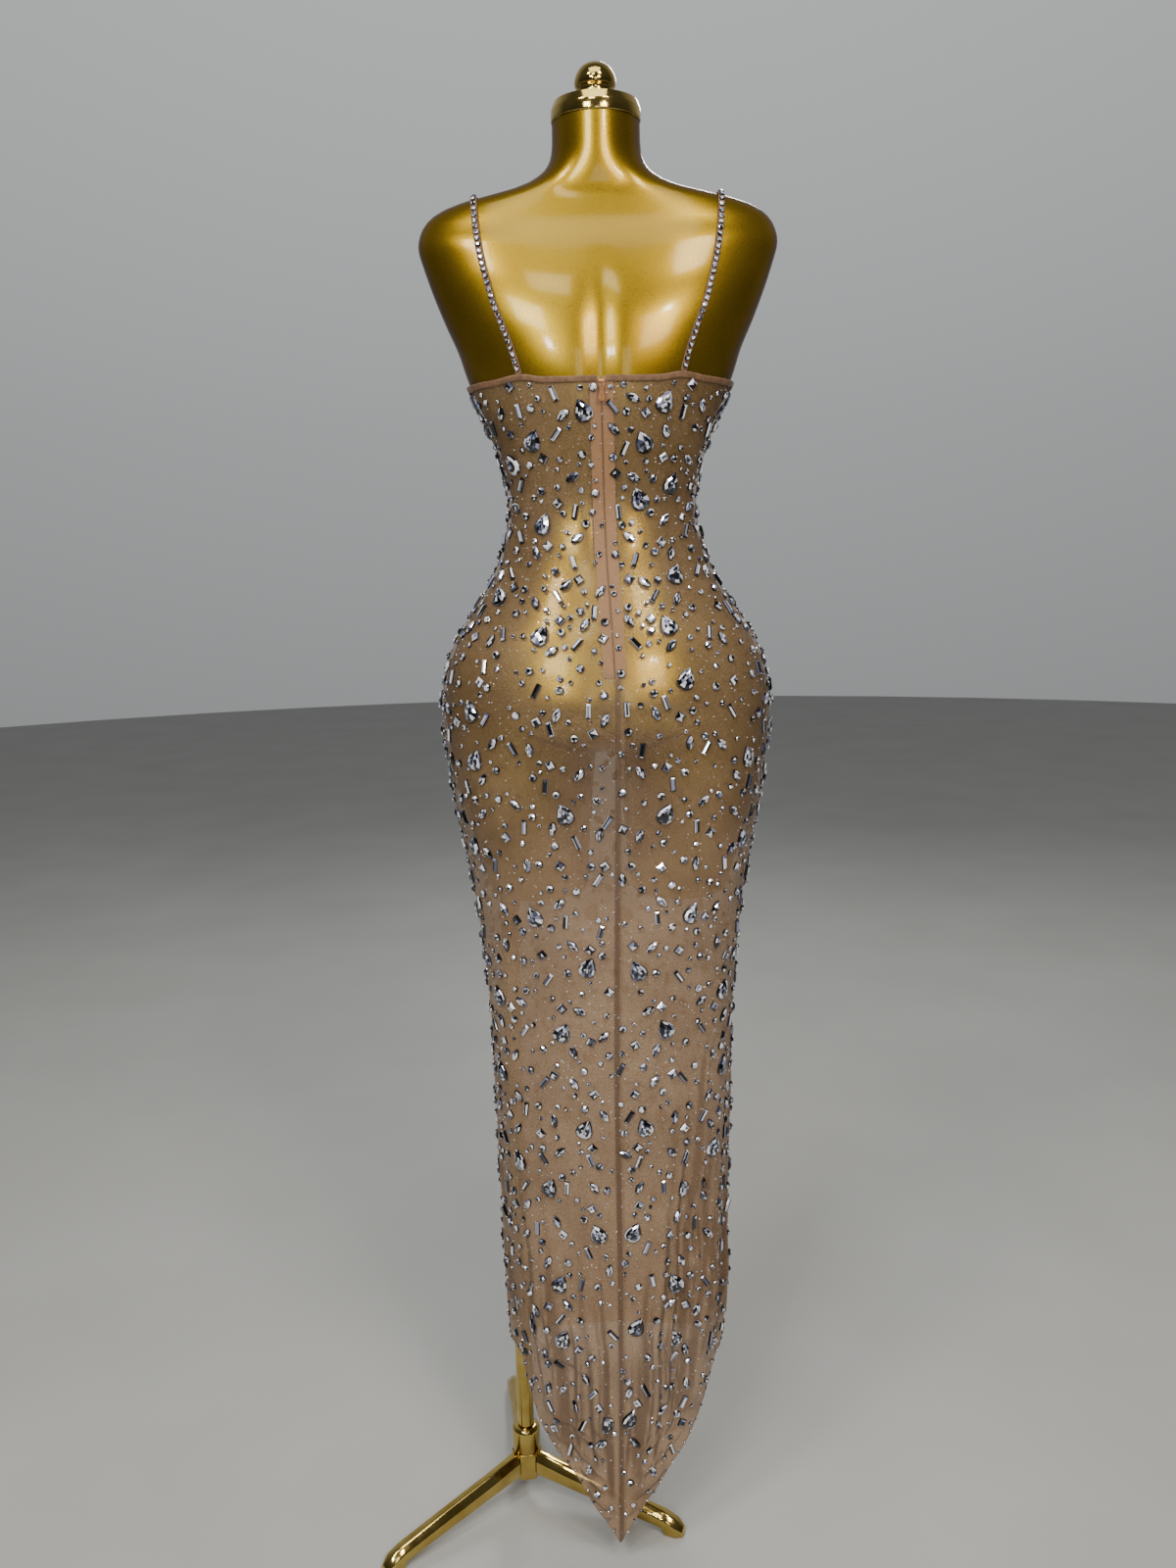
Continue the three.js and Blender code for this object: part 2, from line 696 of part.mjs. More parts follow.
// Where the slider sits: on the seam, at the outer face of the cloth under its top edge.
const sliderTop = SLIDER.level + SLIDER.height / 2;
const sliderPlace = dressFace(-90, sliderTop).setX(seamAt(sliderTop));

// Zip slider: a small block on the seam, with two ears and the pin that the tab turns on.
function sliderGeometry() {
  const front = sliderPlace.y - SEAM_GAP;
  const block = new THREE.BoxGeometry(SLIDER.width, SLIDER.wall, SLIDER.height);
  block.translate(0, front - SLIDER.wall / 2, SLIDER.level);
  const ear = (side) => {
    const reach = SLIDER.pinOut - SLIDER.wall / 2 - SEAM_GAP;
    const arm = new THREE.BoxGeometry(EAR.wall, reach, EAR.radius * 2);
    arm.translate(0, front - SLIDER.wall / 2 - reach / 2, SLIDER.pinLevel);
    const round = new THREE.CylinderGeometry(EAR.radius, EAR.radius, EAR.wall, 12).rotateZ(Math.PI / 2);
    round.translate(0, sliderPlace.y - SLIDER.pinOut, SLIDER.pinLevel);
    const offset = side * (TAB.eye / 2 + EAR.gap + EAR.wall / 2);
    return [arm.translate(offset, 0, 0), round.translate(offset, 0, 0)];
  };
  const pinLength = TAB.eye + 2 * EAR.gap + EAR.wall;
  const pin = new THREE.CylinderGeometry(SLIDER.pinRadius, SLIDER.pinRadius, pinLength, 10);
  pin.rotateZ(Math.PI / 2).translate(0, sliderPlace.y - SLIDER.pinOut, SLIDER.pinLevel);
  return joined([block, ...ear(-1), ...ear(1), pin]).translate(sliderPlace.x, 0, 0);
}

// Pull tab about its own pin: an eye, and a drop-shaped plate that hangs from it.
function tabGeometry() {
  const eyeShape = new THREE.Shape().absarc(0, 0, TAB.eyeRadius, 0, 2 * Math.PI);
  eyeShape.holes.push(new THREE.Path().absarc(0, 0, SLIDER.pinRadius + EAR.gap, 0, 2 * Math.PI, true));
  const eye = new THREE.ExtrudeGeometry(eyeShape, { depth: TAB.eye, bevelEnabled: false, curveSegments: 8 });
  eye.rotateY(Math.PI / 2).translate(-TAB.eye / 2, 0, 0);
  const drop = new THREE.Shape();
  const top = -SLIDER.pinRadius - EAR.gap - 0.2;
  const middle = TAB.width / 2 - TAB.length;
  drop.moveTo(TAB.neck / 2, top);
  drop.lineTo(-TAB.neck / 2, top);
  drop.lineTo(-TAB.width / 2, middle);
  drop.absarc(0, middle, TAB.width / 2, Math.PI, 2 * Math.PI);
  const plate = new THREE.ExtrudeGeometry(drop, { depth: TAB.wall, bevelEnabled: false, curveSegments: 6 });
  plate.rotateX(Math.PI / 2).translate(0, TAB.wall / 2, 0);
  return joined([eye, plate]);
}

const MATERIALS = {
  mesh: { color: "#b08a6e", roughness: 0.8, metalness: 0 },
  tape: { color: "#b98f74", roughness: 0.85, metalness: 0 },
  lacquer: { color: "#b8882a", roughness: 0.25, metalness: 0.3 },
  brass: { color: "#c9a748", roughness: 0.15, metalness: 1 },
  enamel: { color: "#b98468", roughness: 0.35, metalness: 0.2 },
};
const materials = Object.fromEntries(
  Object.entries(MATERIALS).map(([name, look]) => [name, new THREE.MeshStandardMaterial(look)]),
);

function mesh(name, geometry, material) {
  const made = new THREE.Mesh(geometry, materials[material]);
  made.name = name;
  return made;
}

const backLeft = stonedPanel(
  PANELS.backLeft,
  BACK_PEARS.filter(({ angle }) => angle < -90),
);
const backRight = stonedPanel(
  PANELS.backRight,
  BACK_PEARS.filter(({ angle }) => angle > -90),
);
const front = stonedPanel(PANELS.front, FRONT_PEARS);

const dress = new THREE.Group().add(
  mesh("dress_back_left", backLeft, "mesh"),
  mesh("dress_back_right", backRight, "mesh"),
  mesh("dress_front", front, "mesh"),
  mesh("neckline_binding", bindingGeometry(), "mesh"),
  mesh("strap_left", strapGeometry(-1), "mesh"),
  mesh("strap_right", strapGeometry(1), "mesh"),
  mesh("zip_tape_left", tapeGeometry(-1), "tape"),
  mesh("zip_tape_right", tapeGeometry(1), "tape"),
  mesh("zip_slider", sliderGeometry(), "enamel"),
);

const tab = mesh("zip_pull_tab", tabGeometry(), "enamel");
tab.position.set(sliderPlace.x, sliderPlace.y - SLIDER.pinOut, SLIDER.pinLevel);
dress.add(tab);

const form = new THREE.Group().add(
  mesh("form_torso", formGeometry(), "lacquer"),
  mesh("neck_cap", turned(CAP_PROFILE, CAP_PROFILE.at(-1).level, 32), "brass").translateY(NECK_DEPTH),
  mesh("neck_finial", turned(FINIAL_PROFILE, FINIAL_TOP, 24), "brass").translateY(NECK_DEPTH),
);

const hexagon = numbersTo(5).map((i) => {
  const t = degrees(LEG_TURNS[0] + 30 + 60 * i);
  const radius = HUB.flats / 2 / Math.cos(Math.PI / 6);
  return new THREE.Vector2(radius * Math.cos(t), radius * Math.sin(t));
});
const stand = new THREE.Group().add(
  mesh("stand_pole", cylinder(POLE.radius, COLLAR.top + POLE.gap, THIGH[0].level - POLE.gap, 20), "brass"),
  mesh("stand_collar", cylinder(COLLAR.radius, COLLAR.bottom, COLLAR.top, 24), "brass"),
  mesh("stand_hub", prism(hexagon, HUB.top - HUB.bottom, HUB.bottom), "brass"),
);
LEG_TURNS.forEach((turn, i) => {
  const leg = mesh(`stand_leg_${i + 1}`, legGeometry(), "brass");
  leg.rotation.z = degrees(turn);
  stand.add(leg);
});
stand.position.x = POLE.across;

const upright = new THREE.Group().add(dress, form, stand);
const footprint = new THREE.Box3().setFromObject(upright);
const middle = footprint.getCenter(new THREE.Vector3());
upright.position.set(-middle.x, -middle.y, -footprint.min.z);

export default new THREE.Group().add(upright);
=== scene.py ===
"""Looks of a floor-length sheer mesh dress set with stones, on a limbless gold form and its tripod stand.

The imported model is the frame. Sizes are millimetres round the middle of the form, as in the part's source,
and to_metres() brings them to the record's place. The back of the dress, with its zip, faces -Y.
"""

import logging
import math
import random
from dataclasses import dataclass
from enum import Enum
from typing import Callable, Sequence

import bmesh
import bpy
import numpy as np
from mathutils import Matrix, Vector


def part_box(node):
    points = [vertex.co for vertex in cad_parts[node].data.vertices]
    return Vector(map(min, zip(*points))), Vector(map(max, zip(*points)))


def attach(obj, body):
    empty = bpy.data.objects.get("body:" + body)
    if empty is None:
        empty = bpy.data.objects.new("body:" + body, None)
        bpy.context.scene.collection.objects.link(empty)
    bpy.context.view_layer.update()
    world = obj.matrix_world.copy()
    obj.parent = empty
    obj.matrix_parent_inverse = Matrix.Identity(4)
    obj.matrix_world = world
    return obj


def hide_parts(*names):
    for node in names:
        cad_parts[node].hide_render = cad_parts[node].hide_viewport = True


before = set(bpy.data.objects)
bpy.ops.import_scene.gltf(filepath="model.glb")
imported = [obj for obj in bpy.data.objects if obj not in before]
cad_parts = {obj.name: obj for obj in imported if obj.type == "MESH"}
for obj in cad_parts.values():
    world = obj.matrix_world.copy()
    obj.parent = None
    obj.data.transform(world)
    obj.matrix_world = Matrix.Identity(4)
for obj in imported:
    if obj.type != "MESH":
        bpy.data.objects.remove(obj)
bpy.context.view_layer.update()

LOG = logging.getLogger("dress")
Array = np.ndarray
Surface = Callable[[Array, Array], Array]

MM = 0.001
MAIN_BODY = "dress_on_form"
PULL_BODY = "zip_pull"

# Rows of sections: level, half width, back depth, front depth, power
DRESS = [
    (0, 128, 121, 88, 2.3),
    (150, 132, 121, 89, 2.3),
    (238, 134, 120, 90, 2.3),
    (300, 137, 119, 90, 2.3),
    (440, 140, 118, 90, 2.3),
    (570, 142, 119, 90, 2.3),
    (695, 146, 122, 91, 2.3),
    (817, 158, 127, 94, 2.3),
    (865, 166, 130, 96, 2.3),
    (912, 175, 134, 98, 2.3),
    (958, 181, 139, 100, 2.3),
    (1000, 186, 142, 100, 2.3),
    (1036, 187, 141, 99, 2.3),
    (1072, 182, 135, 97, 2.3),
    (1106, 169, 124, 95, 2.3),
    (1139, 148, 109, 92, 2.2),
    (1172, 127, 93, 88, 2.2),
    (1205, 114, 81, 84, 2.2),
    (1248, 105, 74, 84, 2.2),
    (1290, 110, 79, 94, 2.2),
    (1322, 120, 85, 104, 2.3),
    (1353, 134, 90, 110, 2.3),
    (1386, 148, 93, 111, 2.4),
]
BARE_FORM = [
    (1386, 144.3, 89.3, 106.4, 2.4),
    (1416, 154, 89, 103, 2.5),
    (1446, 167, 86, 96, 2.6),
    (1477, 179, 79, 86, 2.7),
    (1507, 189, 69, 74, 2.7),
    (1523, 193, 63, 66, 2.7),
    (1537, 191, 57, 59, 2.6),
    (1549, 184, 53, 53, 2.6),
    (1560, 169, 50, 48, 2.5),
    (1569, 143, 48, 45, 2.4),
    (1577, 105, 48, 43, 2.3),
    (1585, 79, 49, 42, 2.2),
    (1596, 60, 50, 42, 2.1),
    (1608, 51, 50.5, 42, 2),
    (1622, 47.5, 51, 42.5, 2),
    (1645.7, 46.8, 51, 42.5, 2),
]
SEAT = [(986, 168, 88, 78, 2.3), (1000, 179, 115, 90, 2.3), (1017, 183, 131, 94.5, 2.3)]
EASE = 3.7
FRONT_EASE = 4.6
# Thighs of the form: level, inner side, outer side, back depth, front depth
THIGH = [
    (815, 25, 138, 76, 70),
    (862, 22, 151, 90, 72),
    (910, 18, 165, 102, 74),
    (952, 15, 175, 112, 75),
    (990, 11, 180, 117, 76),
    (1030, 9, 181, 118, 76),
]
BUST = {"depth": 20, "across": 62, "level": 1332, "width": 40, "height": 46, "fade": 50}

# Edges of the dress: turn from the centre back, level
HEM = [
    (0, 26),
    (8, 57),
    (16, 84),
    (27, 119),
    (39, 152),
    (47, 181),
    (54, 213),
    (63, 238),
    (90, 243),
    (118, 196),
    (145, 182),
    (180, 180),
]
NECK = [
    (0, 1379),
    (35, 1379.5),
    (46, 1383),
    (60, 1379.5),
    (90, 1379),
    (130, 1380),
    (145, 1386),
    (160, 1379),
    (180, 1375),
]
# Centre back seam: level, how far across it lies
BACK_SEAM = [(0, -3), (376, 1), (618, 1), (846, 5), (1061, 8), (1123, 6), (1204, 2), (1332, 0), (1386, 0)]

# Folds and creases: low, high, turn at the low end, turn at the high end, half width in degrees, depth
FOLDS = [
    (190, 760, 44, 62, 13, 6),
    (170, 700, 29, 46, 12, -6),
    (90, 520, 15, 29, 12, 5),
    (60, 420, -9, -16, 11, 5),
    (90, 470, -22, -30, 11, -5),
    (160, 640, -40, -52, 13, 5),
    (200, 560, -62, -74, 13, -5),
    (200, 620, 132, 124, 15, 6),
    (185, 560, 162, 158, 15, -5),
    (185, 600, 196, 204, 15, 5),
    (190, 540, 226, 233, 15, -5),
]
CREASES = [
    (235, 715, 34, 55, 3.4, 5.0),
    (215, 690, 39, 60, 3.2, -3.6),
    (245, 640, 47, 68, 3.4, 4.6),
    (205, 590, 27, 39, 3.2, 4.2),
    (170, 540, 31, 47, 3.0, -2.8),
    (125, 480, 20, 31, 3.2, -3.6),
    (105, 450, 12.5, 20, 3.2, 4.0),
    (120, 340, 6.5, 10.5, 3.4, -2.4),
    (92, 300, -3.5, -6, 3.2, -1.8),
    (110, 430, -7.5, -11, 3.2, 3.4),
    (130, 350, -14, -21, 3.4, -3.0),
    (112, 450, -20, -29, 3.4, 4.0),
    (134, 330, -26, -33, 3.2, -2.6),
    (152, 500, -32, -43, 3.6, 3.8),
    (182, 540, -43, -57, 3.8, -3.6),
    (215, 430, -54, -63, 3.6, 3.0),
    (232, 620, 60, 82, 4.0, -3.2),
    (300, 760, 70, 88, 4.4, 2.4),
    (280, 640, -70, -84, 4.4, 2.4),
    (560, 880, 16, 30, 5.0, 1.4),
    (600, 860, -14, -26, 5.0, 1.4),
]
# Creases across the cloth: level at the first turn, first turn, last turn, rise, half height, depth
CROSS_CREASES = [
    (1052, -24, 6, -10, 7, 0.9),
    (1036, -8, 30, 9, 8, 0.9),
    (1012, -34, 2, -6, 9, 0.8),
    (990, -4, 40, 12, 8, 0.9),
    (962, -44, -6, -9, 9, 0.8),
    (1150, 30, 84, 16, 8, 1.0),
    (1172, -88, -34, -18, 8, 1.0),
    (1226, 24, 86, -12, 7, 1.1),
    (1244, -86, -20, 12, 7, 1.1),
    (1200, -80, -30, 8, 6, 0.8),
    (668, 18, 70, 22, 12, 1.4),
    (548, -66, -12, -18, 12, 1.3),
    (470, 20, 62, 26, 11, 1.2),
    (330, -58, -20, -22, 10, 1.2),
    (232, 14, 50, 24, 9, 1.3),
    (214, -47, -9, -66, 4.5, 2.8),
    (172, -39, -5, -58, 4, 2.5),
    (196, -30, -3, -34, 3.6, -1.9),
    (132, -28, -3, -40, 4, 2.3),
    (97, -19, -1, -32, 3.6, 2.0),
    (144, 6, 46, 66, 4.5, 2.8),
    (108, 4, 37, 62, 4, 2.5),
    (150, 2, 28, 30, 3.6, -1.9),
    (80, 3, 25, 42, 4, 2.2),
    (62, 1, 13, 22, 3.6, 1.8),
    (244, 8, 54, 60, 5, 2.2),
    (298, -60, -18, -48, 5, 2.0),
    (268, -50, -6, -30, 4, -1.4),
    (330, 10, 48, 44, 5, 1.8),
]

# Large drop-shaped stones of the back: level, across to the left, across to the right, rise of the right
PEARS = [
    (1346, 20, 66, 8),
    (1318, 73, 43, -4),
    (1296, 96, 73, -24),
    (1232, 64, 38, 24),
    (1156, 113, 75, 20),
    (1116, 69, 65, 8),
    (1036, 146, 83, 33),
    (983, 143, 152, -3),
    (928, 48, 60, -2),
    (882, 150, 148, 3),
    (810, 84, 88, 0),
    (754, 26, 28, -5),
    (704, 128, 125, 4),
    (676, 56, 58, 2),
    (609, 128, 124, 6),
    (561, 33, 34, 1),
    (509, 108, 112, 10),
    (484, 75, 79, -5),
    (432, 21, 20, 1),
    (363, 67, 68, -1),
    (303, 98, 22, 10),
    (291, 66, 69, -3),
    (191, 15, 12, 3),
]
PEAR_FAN = 24
FRONT_PEARS_ABOVE = 215
FRONT_PEARS_WITHIN = 100

NECK_DEPTH = -4.25


# Places and curves


def axis_place() -> Vector:
    """Gives the place of the form's middle on the floor, in metres, from the CAD cap on its neck."""
    low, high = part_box("neck_cap")
    return Vector(((low[0] + high[0]) / 2, (low[1] + high[1]) / 2 - NECK_DEPTH * MM, 0))


AXIS = np.array(axis_place())


def to_metres(points: Array) -> Array:
    """Turns points in millimetres round the form into the record's place in metres."""
    return np.asarray(points, float) * MM + AXIS


class TableCurve:
    """Smooth curve through a table, as the part's source draws it.

    Args:
        places: where the values stand, rising.
        values: the values at those places.
    """

    def __init__(self, places: Sequence[float], values: Sequence[float]) -> None:
        self.places = np.array(places, float)
        self.values = np.array(values, float)
        count = len(self.places)
        before = np.maximum(np.arange(count) - 1, 0)
        after = np.minimum(np.arange(count) + 1, count - 1)
        rise = self.values[after] - self.values[before]
        self.slopes = rise / (self.places[after] - self.places[before])

    def __call__(self, place: Array) -> Array:
        """Gives the curve's value at a place, or at each of many."""
        x = np.asarray(place, float)
        i = np.clip(np.searchsorted(self.places, x) - 1, 0, len(self.places) - 2)
        span = self.places[i + 1] - self.places[i]
        t = np.clip((x - self.places[i]) / span, 0, 1)
        rise = self.values[i + 1] - self.values[i]
        lead = span * self.slopes[i] - rise
        trail = rise - span * self.slopes[i + 1]
        return self.values[i] + rise * t + t * (1 - t) * (lead * (1 - t) + trail * t)


def table_curve(rows: Sequence[Sequence[float]]) -> TableCurve:
    """Makes the curve of a table of two columns."""
    return TableCurve([row[0] for row in rows], [row[1] for row in rows])


hem_at = table_curve(HEM)
neck_at = table_curve(NECK)
seam_at = table_curve(BACK_SEAM)


def bust_at(across: Array, depth: Array, level: Array) -> Array:
    """Tells how far the bust stands in front of the plain section."""
    side = (np.abs(across) - BUST["across"]) / BUST["width"]
    up = (level - BUST["level"]) / BUST["height"]
    fade = np.clip(depth / BUST["fade"], 0, 1)
    return BUST["depth"] * np.exp(-side * side - up * up) * fade * fade


class Sections:
    """A body given by rows of level, half width, back depth, front depth and power.

    Args:
        rows: the table, from the lowest level up.
    """

    def __init__(self, rows: Sequence[Sequence[float]]) -> None:
        self.rows = rows
        levels = [row[0] for row in rows]
        self.curves = [TableCurve(levels, [row[i] for row in rows]) for i in range(1, 5)]

    def at(self, level: Array) -> list[Array]:
        """Gives half width, back depth, front depth and power at a level."""
        return [curve(level) for curve in self.curves]

    def point(self, angle: Array, level: Array) -> Array:
        """Gives the surface point at an angle in degrees from +X and a level."""
        angle, level = np.broadcast_arrays(np.asarray(angle, float), np.asarray(level, float))
        half, back, front, power = self.at(level)
        c = np.cos(np.radians(angle))
        s = np.sin(np.radians(angle))
        deep = np.where(s < 0, back, front)
        radius = (np.abs(c / half) ** power + np.abs(s / deep) ** power) ** (-1 / power)
        x = radius * c
        y = radius * s
        return np.stack([x, y + bust_at(x, y, level), level], axis=-1)


def form_rows() -> list[tuple[float, ...]]:
    """Gives the form's rows: its seat, the dress less its ease, and the bare top."""
    covered = [
        (level, half - EASE, back - EASE, front - FRONT_EASE, power)
        for level, half, back, front, power in DRESS
        if SEAT[-1][0] < level < BARE_FORM[0][0]
    ]
    return [*SEAT, *covered, *BARE_FORM]


DRESS_SECTIONS = Sections(DRESS)
FORM_SECTIONS = Sections(form_rows())


def turn_of(angle: Array) -> Array:
    """Gives the turn from the centre back, from -180 to 180, of an angle from +X."""
    return (np.asarray(angle, float) + 90 + 180) % 360 - 180


def smooth_step(low: float, high: float, value: Array) -> Array:
    """Rises softly from 0 at low to 1 at high."""
    t = np.clip((value - low) / (high - low), 0, 1)
    return t * t * (3 - 2 * t)


def front_creases() -> list[tuple[float, ...]]:
    """Gives uneven creases for the sides and front, which the photograph doesn't show."""
    draw = random.Random(41)
    rows = []
    turn = 74.0
    while turn < 284:
        low = float(hem_at(abs(turn_of(turn - 90)))) + draw.uniform(4, 60)
        high = low + draw.uniform(150, 430)
        drift = draw.uniform(-6, 6)
        depth = draw.choice([-1, 1]) * draw.uniform(1.8, 4.2)
        rows.append((low, high, turn, turn + drift, draw.uniform(3.6, 5.4), depth))
        turn += draw.uniform(7, 13)
    return rows


class DressSurface:
    """Outer face of the cloth, with its folds, creases and the ripples of stretched mesh."""

    def __init__(self) -> None:
        self.creases = [*CREASES, *front_creases()]

    def relief(self, angle: Array, level: Array) -> Array:
        """Tells how far the cloth stands out of its plain section."""
        turn = turn_of(angle)
        total = np.zeros(np.broadcast(turn, level).shape)
        for rows, sway in ((FOLDS, 0.0), (self.creases, 1.0)):
            for low, high, turn_low, turn_high, width, depth in rows:
                along = np.clip((level - low) / (high - low), 0, 1)
                middle = turn_low + (turn_high - turn_low) * along + sway * np.sin(level / 29 + turn_low)
                off = np.abs(turn_of(angle - middle)) / width
                across = np.where(off < 1, np.cos(np.minimum(off, 1) * math.pi / 2) ** 2, 0)
                swell = 1 + 0.3 * sway * np.sin(level / 41 + turn_high)
                total = total + depth * across * swell * np.sin(math.pi * np.sqrt(along))
        for first, turn_low, turn_high, rise, height, depth in CROSS_CREASES:
            along = np.clip((turn - turn_low) / (turn_high - turn_low), 0, 1)
            off = (level - first - rise * along) / height
            total = total + depth * np.exp(-off * off) * np.sin(math.pi * along)
        ripple = np.sin(turn * 0.55 + level * 0.021) * np.sin(level * 0.037 - turn * 0.16)
        total = total + 0.35 * ripple
        near_form = smooth_step(800, 1010, level)
        return np.where(total < 0, total * (1 - 0.8 * near_form), total)

    def face(self, angle: Array, level: Array) -> Array:
        """Gives the point of the cloth's outer face."""
        angle, level = np.broadcast_arrays(np.asarray(angle, float), np.asarray(level, float))
        point = DRESS_SECTIONS.point(angle, level)
        rise = self.relief(angle, level)
        point[..., 0] += rise * np.cos(np.radians(angle))
        point[..., 1] += rise * np.sin(np.radians(angle))
        return point

    def normal(self, angle: Array, level: Array) -> Array:
        """Gives the outward normal of the cloth."""
        return surface_normal(self.face, angle, level)


def surface_normal(face: Surface, angle: Array, level: Array) -> Array:
    """Gives the outward normal of a face that is given by angle and level."""
    round_ = face(angle + 0.5, level) - face(angle - 0.5, level)
    up = face(angle, level + 1) - face(angle, level - 1)
    normal = np.cross(round_, up)
    return normal / np.linalg.norm(normal, axis=-1, keepdims=True)


CLOTH = DressSurface()


def back_angle(across: Array, level: Array) -> Array:
    """Gives the angle of a place on the back of the dress that lies across from its middle."""
    half, back, _, power = DRESS_SECTIONS.at(level)
    share = np.clip(np.abs(across) / half, 0, 0.999)
    return np.degrees(np.arctan2(-back * (1 - share**power) ** (1 / power), across))


# Meshes


def new_object(name: str, mesh: bpy.types.Mesh) -> bpy.types.Object:
    """Links a new object that carries a mesh."""
    made = bpy.data.objects.new(name, mesh)
    bpy.context.scene.collection.objects.link(made)
    return made


def new_mesh(name: str, points: Array, faces: Sequence[Sequence[int]]) -> bpy.types.Mesh:
    """Makes a mesh from points in millimetres."""
    mesh = bpy.data.meshes.new(name)
    mesh.from_pydata(to_metres(points).tolist(), [], [list(face) for face in faces])
    mesh.shade_smooth()
    return mesh


def sharpen(mesh: bpy.types.Mesh, degrees: float = 38, outward: bool = True) -> None:
    """Marks the hard edges of a mesh, and turns the faces of a closed one outwards."""
    work = bmesh.new()
    work.from_mesh(mesh)
    if outward:
        bmesh.ops.recalc_face_normals(work, faces=work.faces)
    limit = math.radians(degrees)
    for edge in work.edges:
        edge.smooth = len(edge.link_faces) == 2 and edge.calc_face_angle(0) < limit
    work.to_mesh(mesh)
    work.free()


def wall_faces(rows: int, columns: int) -> Array:
    """Gives the faces of a closed wall between an outer and an inner grid."""
    outer = np.arange(rows * columns).reshape(rows, columns)
    inner = outer + rows * columns

    def quads(*corners: Array) -> Array:
        """Sets corners together as faces."""
        return np.stack(corners, axis=-1).reshape(-1, 4)

    return np.concatenate(
        [
            quads(outer[:-1, :-1], outer[:-1, 1:], outer[1:, 1:], outer[1:, :-1]),
            quads(inner[:-1, :-1], inner[1:, :-1], inner[1:, 1:], inner[:-1, 1:]),
            quads(inner[0, :-1], inner[0, 1:], outer[0, 1:], outer[0, :-1]),
            quads(outer[-1, :-1], outer[-1, 1:], inner[-1, 1:], inner[-1, :-1]),
            quads(inner[:-1, 0], outer[:-1, 0], outer[1:, 0], inner[1:, 0]),
            quads(outer[:-1, -1], inner[:-1, -1], inner[1:, -1], outer[1:, -1]),
        ]
    )


def lengths_along(grid: Array, axis: int) -> Array:
    """Adds up the distances from point to point of a grid along an axis, in metres."""
    steps = np.linalg.norm(np.diff(grid, axis=axis), axis=-1)
    start = np.zeros_like(np.take(steps, [0], axis=axis))
    return np.concatenate([start, np.cumsum(steps, axis=axis)], axis=axis) * MM


def cloth_wall(
    name: str, outer: Array, inner: Array, marks: dict[str, Array] | None = None
) -> bpy.types.Object:
    """Makes a thin closed wall of cloth, with a UV map in metres along its threads.

    Args:
        name: name of the piece.
        outer: grid of points of the outer face, in millimetres.
        inner: grid of points of the inner face.
        marks: a grid of values for each attribute that the material reads.

    Returns:
        The piece.
    """
    rows, columns = outer.shape[:2]
    faces = wall_faces(rows, columns)
    points = np.concatenate([outer.reshape(-1, 3), inner.reshape(-1, 3)])
    mesh = new_mesh(name, points, faces)
    u = lengths_along(outer, 1)
    v = lengths_along(outer, 0)
    flat = np.stack([u - u[:, [columns // 2]], v - v[[rows - 1], :]], axis=-1).reshape(-1, 2)
    places = np.concatenate([flat, flat])[faces.ravel()]
    layer = mesh.uv_layers.new(name="threads")
    layer.data.foreach_set("uv", places.ravel())
    for mark, grid in (marks or {}).items():
        store(mesh, mark, "FLOAT", np.concatenate([grid.ravel(), grid.ravel()]))
    sharpen(mesh, outward=False)
    return new_object(name, mesh)


def store(mesh: bpy.types.Mesh, name: str, kind: str, values: Array) -> None:
    """Keeps a value for each point of a mesh as an attribute."""
    field = "vector" if kind == "FLOAT_VECTOR" else "value"
    attribute = mesh.attributes.new(name, kind, "POINT")
    attribute.data.foreach_set(field, np.ascontiguousarray(values).ravel())


def loft(name: str, rings: Array, degrees: float = 38) -> bpy.types.Object:
    """Makes a solid through rings of points.

    Args:
        name: name of the piece.
        rings: points, as ring, place in the ring, and coordinates.
        degrees: angle between faces from which an edge is hard.

    Returns:
        The piece.
    """
    count, sides = rings.shape[:2]
    index = np.arange(count * sides).reshape(count, sides)
    low, high = index[:-1], index[1:]
    quads = np.stack([low, np.roll(low, -1, 1), np.roll(high, -1, 1), high], axis=-1)
    faces = quads.reshape(-1, 4).tolist()
    faces += [index[0, ::-1].tolist(), index[-1].tolist()]
    mesh = new_mesh(name, rings.reshape(-1, 3), faces)
    sharpen(mesh, degrees)
    return new_object(name, mesh)


def turned(
    name: str, profile: Sequence[tuple[float, float]], centre: tuple[float, float]
) -> bpy.types.Object:
    """Turns a profile of radius and level round an upright line."""
    turns = np.radians(np.arange(0, 360, 360 / 96))
    circle = np.stack([np.cos(turns), np.sin(turns)], axis=-1)
    rings = [
        np.column_stack([circle * radius + np.array(centre), np.full(len(circle), level)])
        for radius, level in profile
    ]
    return loft(name, np.array(rings), degrees=30)


def rounded_profile(rows: Sequence[tuple[float, float]], steps: int = 5) -> list[tuple[float, float]]:
    """Draws a smooth profile of radius and level through the rows of a table."""
    along = np.arange(len(rows), dtype=float)
    fine = np.linspace(0, len(rows) - 1, (len(rows) - 1) * steps + 1)
    radius = TableCurve(along, [row[0] for row in rows])(fine)
    level = TableCurve(along, [row[1] for row in rows])(fine)
    return list(zip(radius.tolist(), level.tolist()))


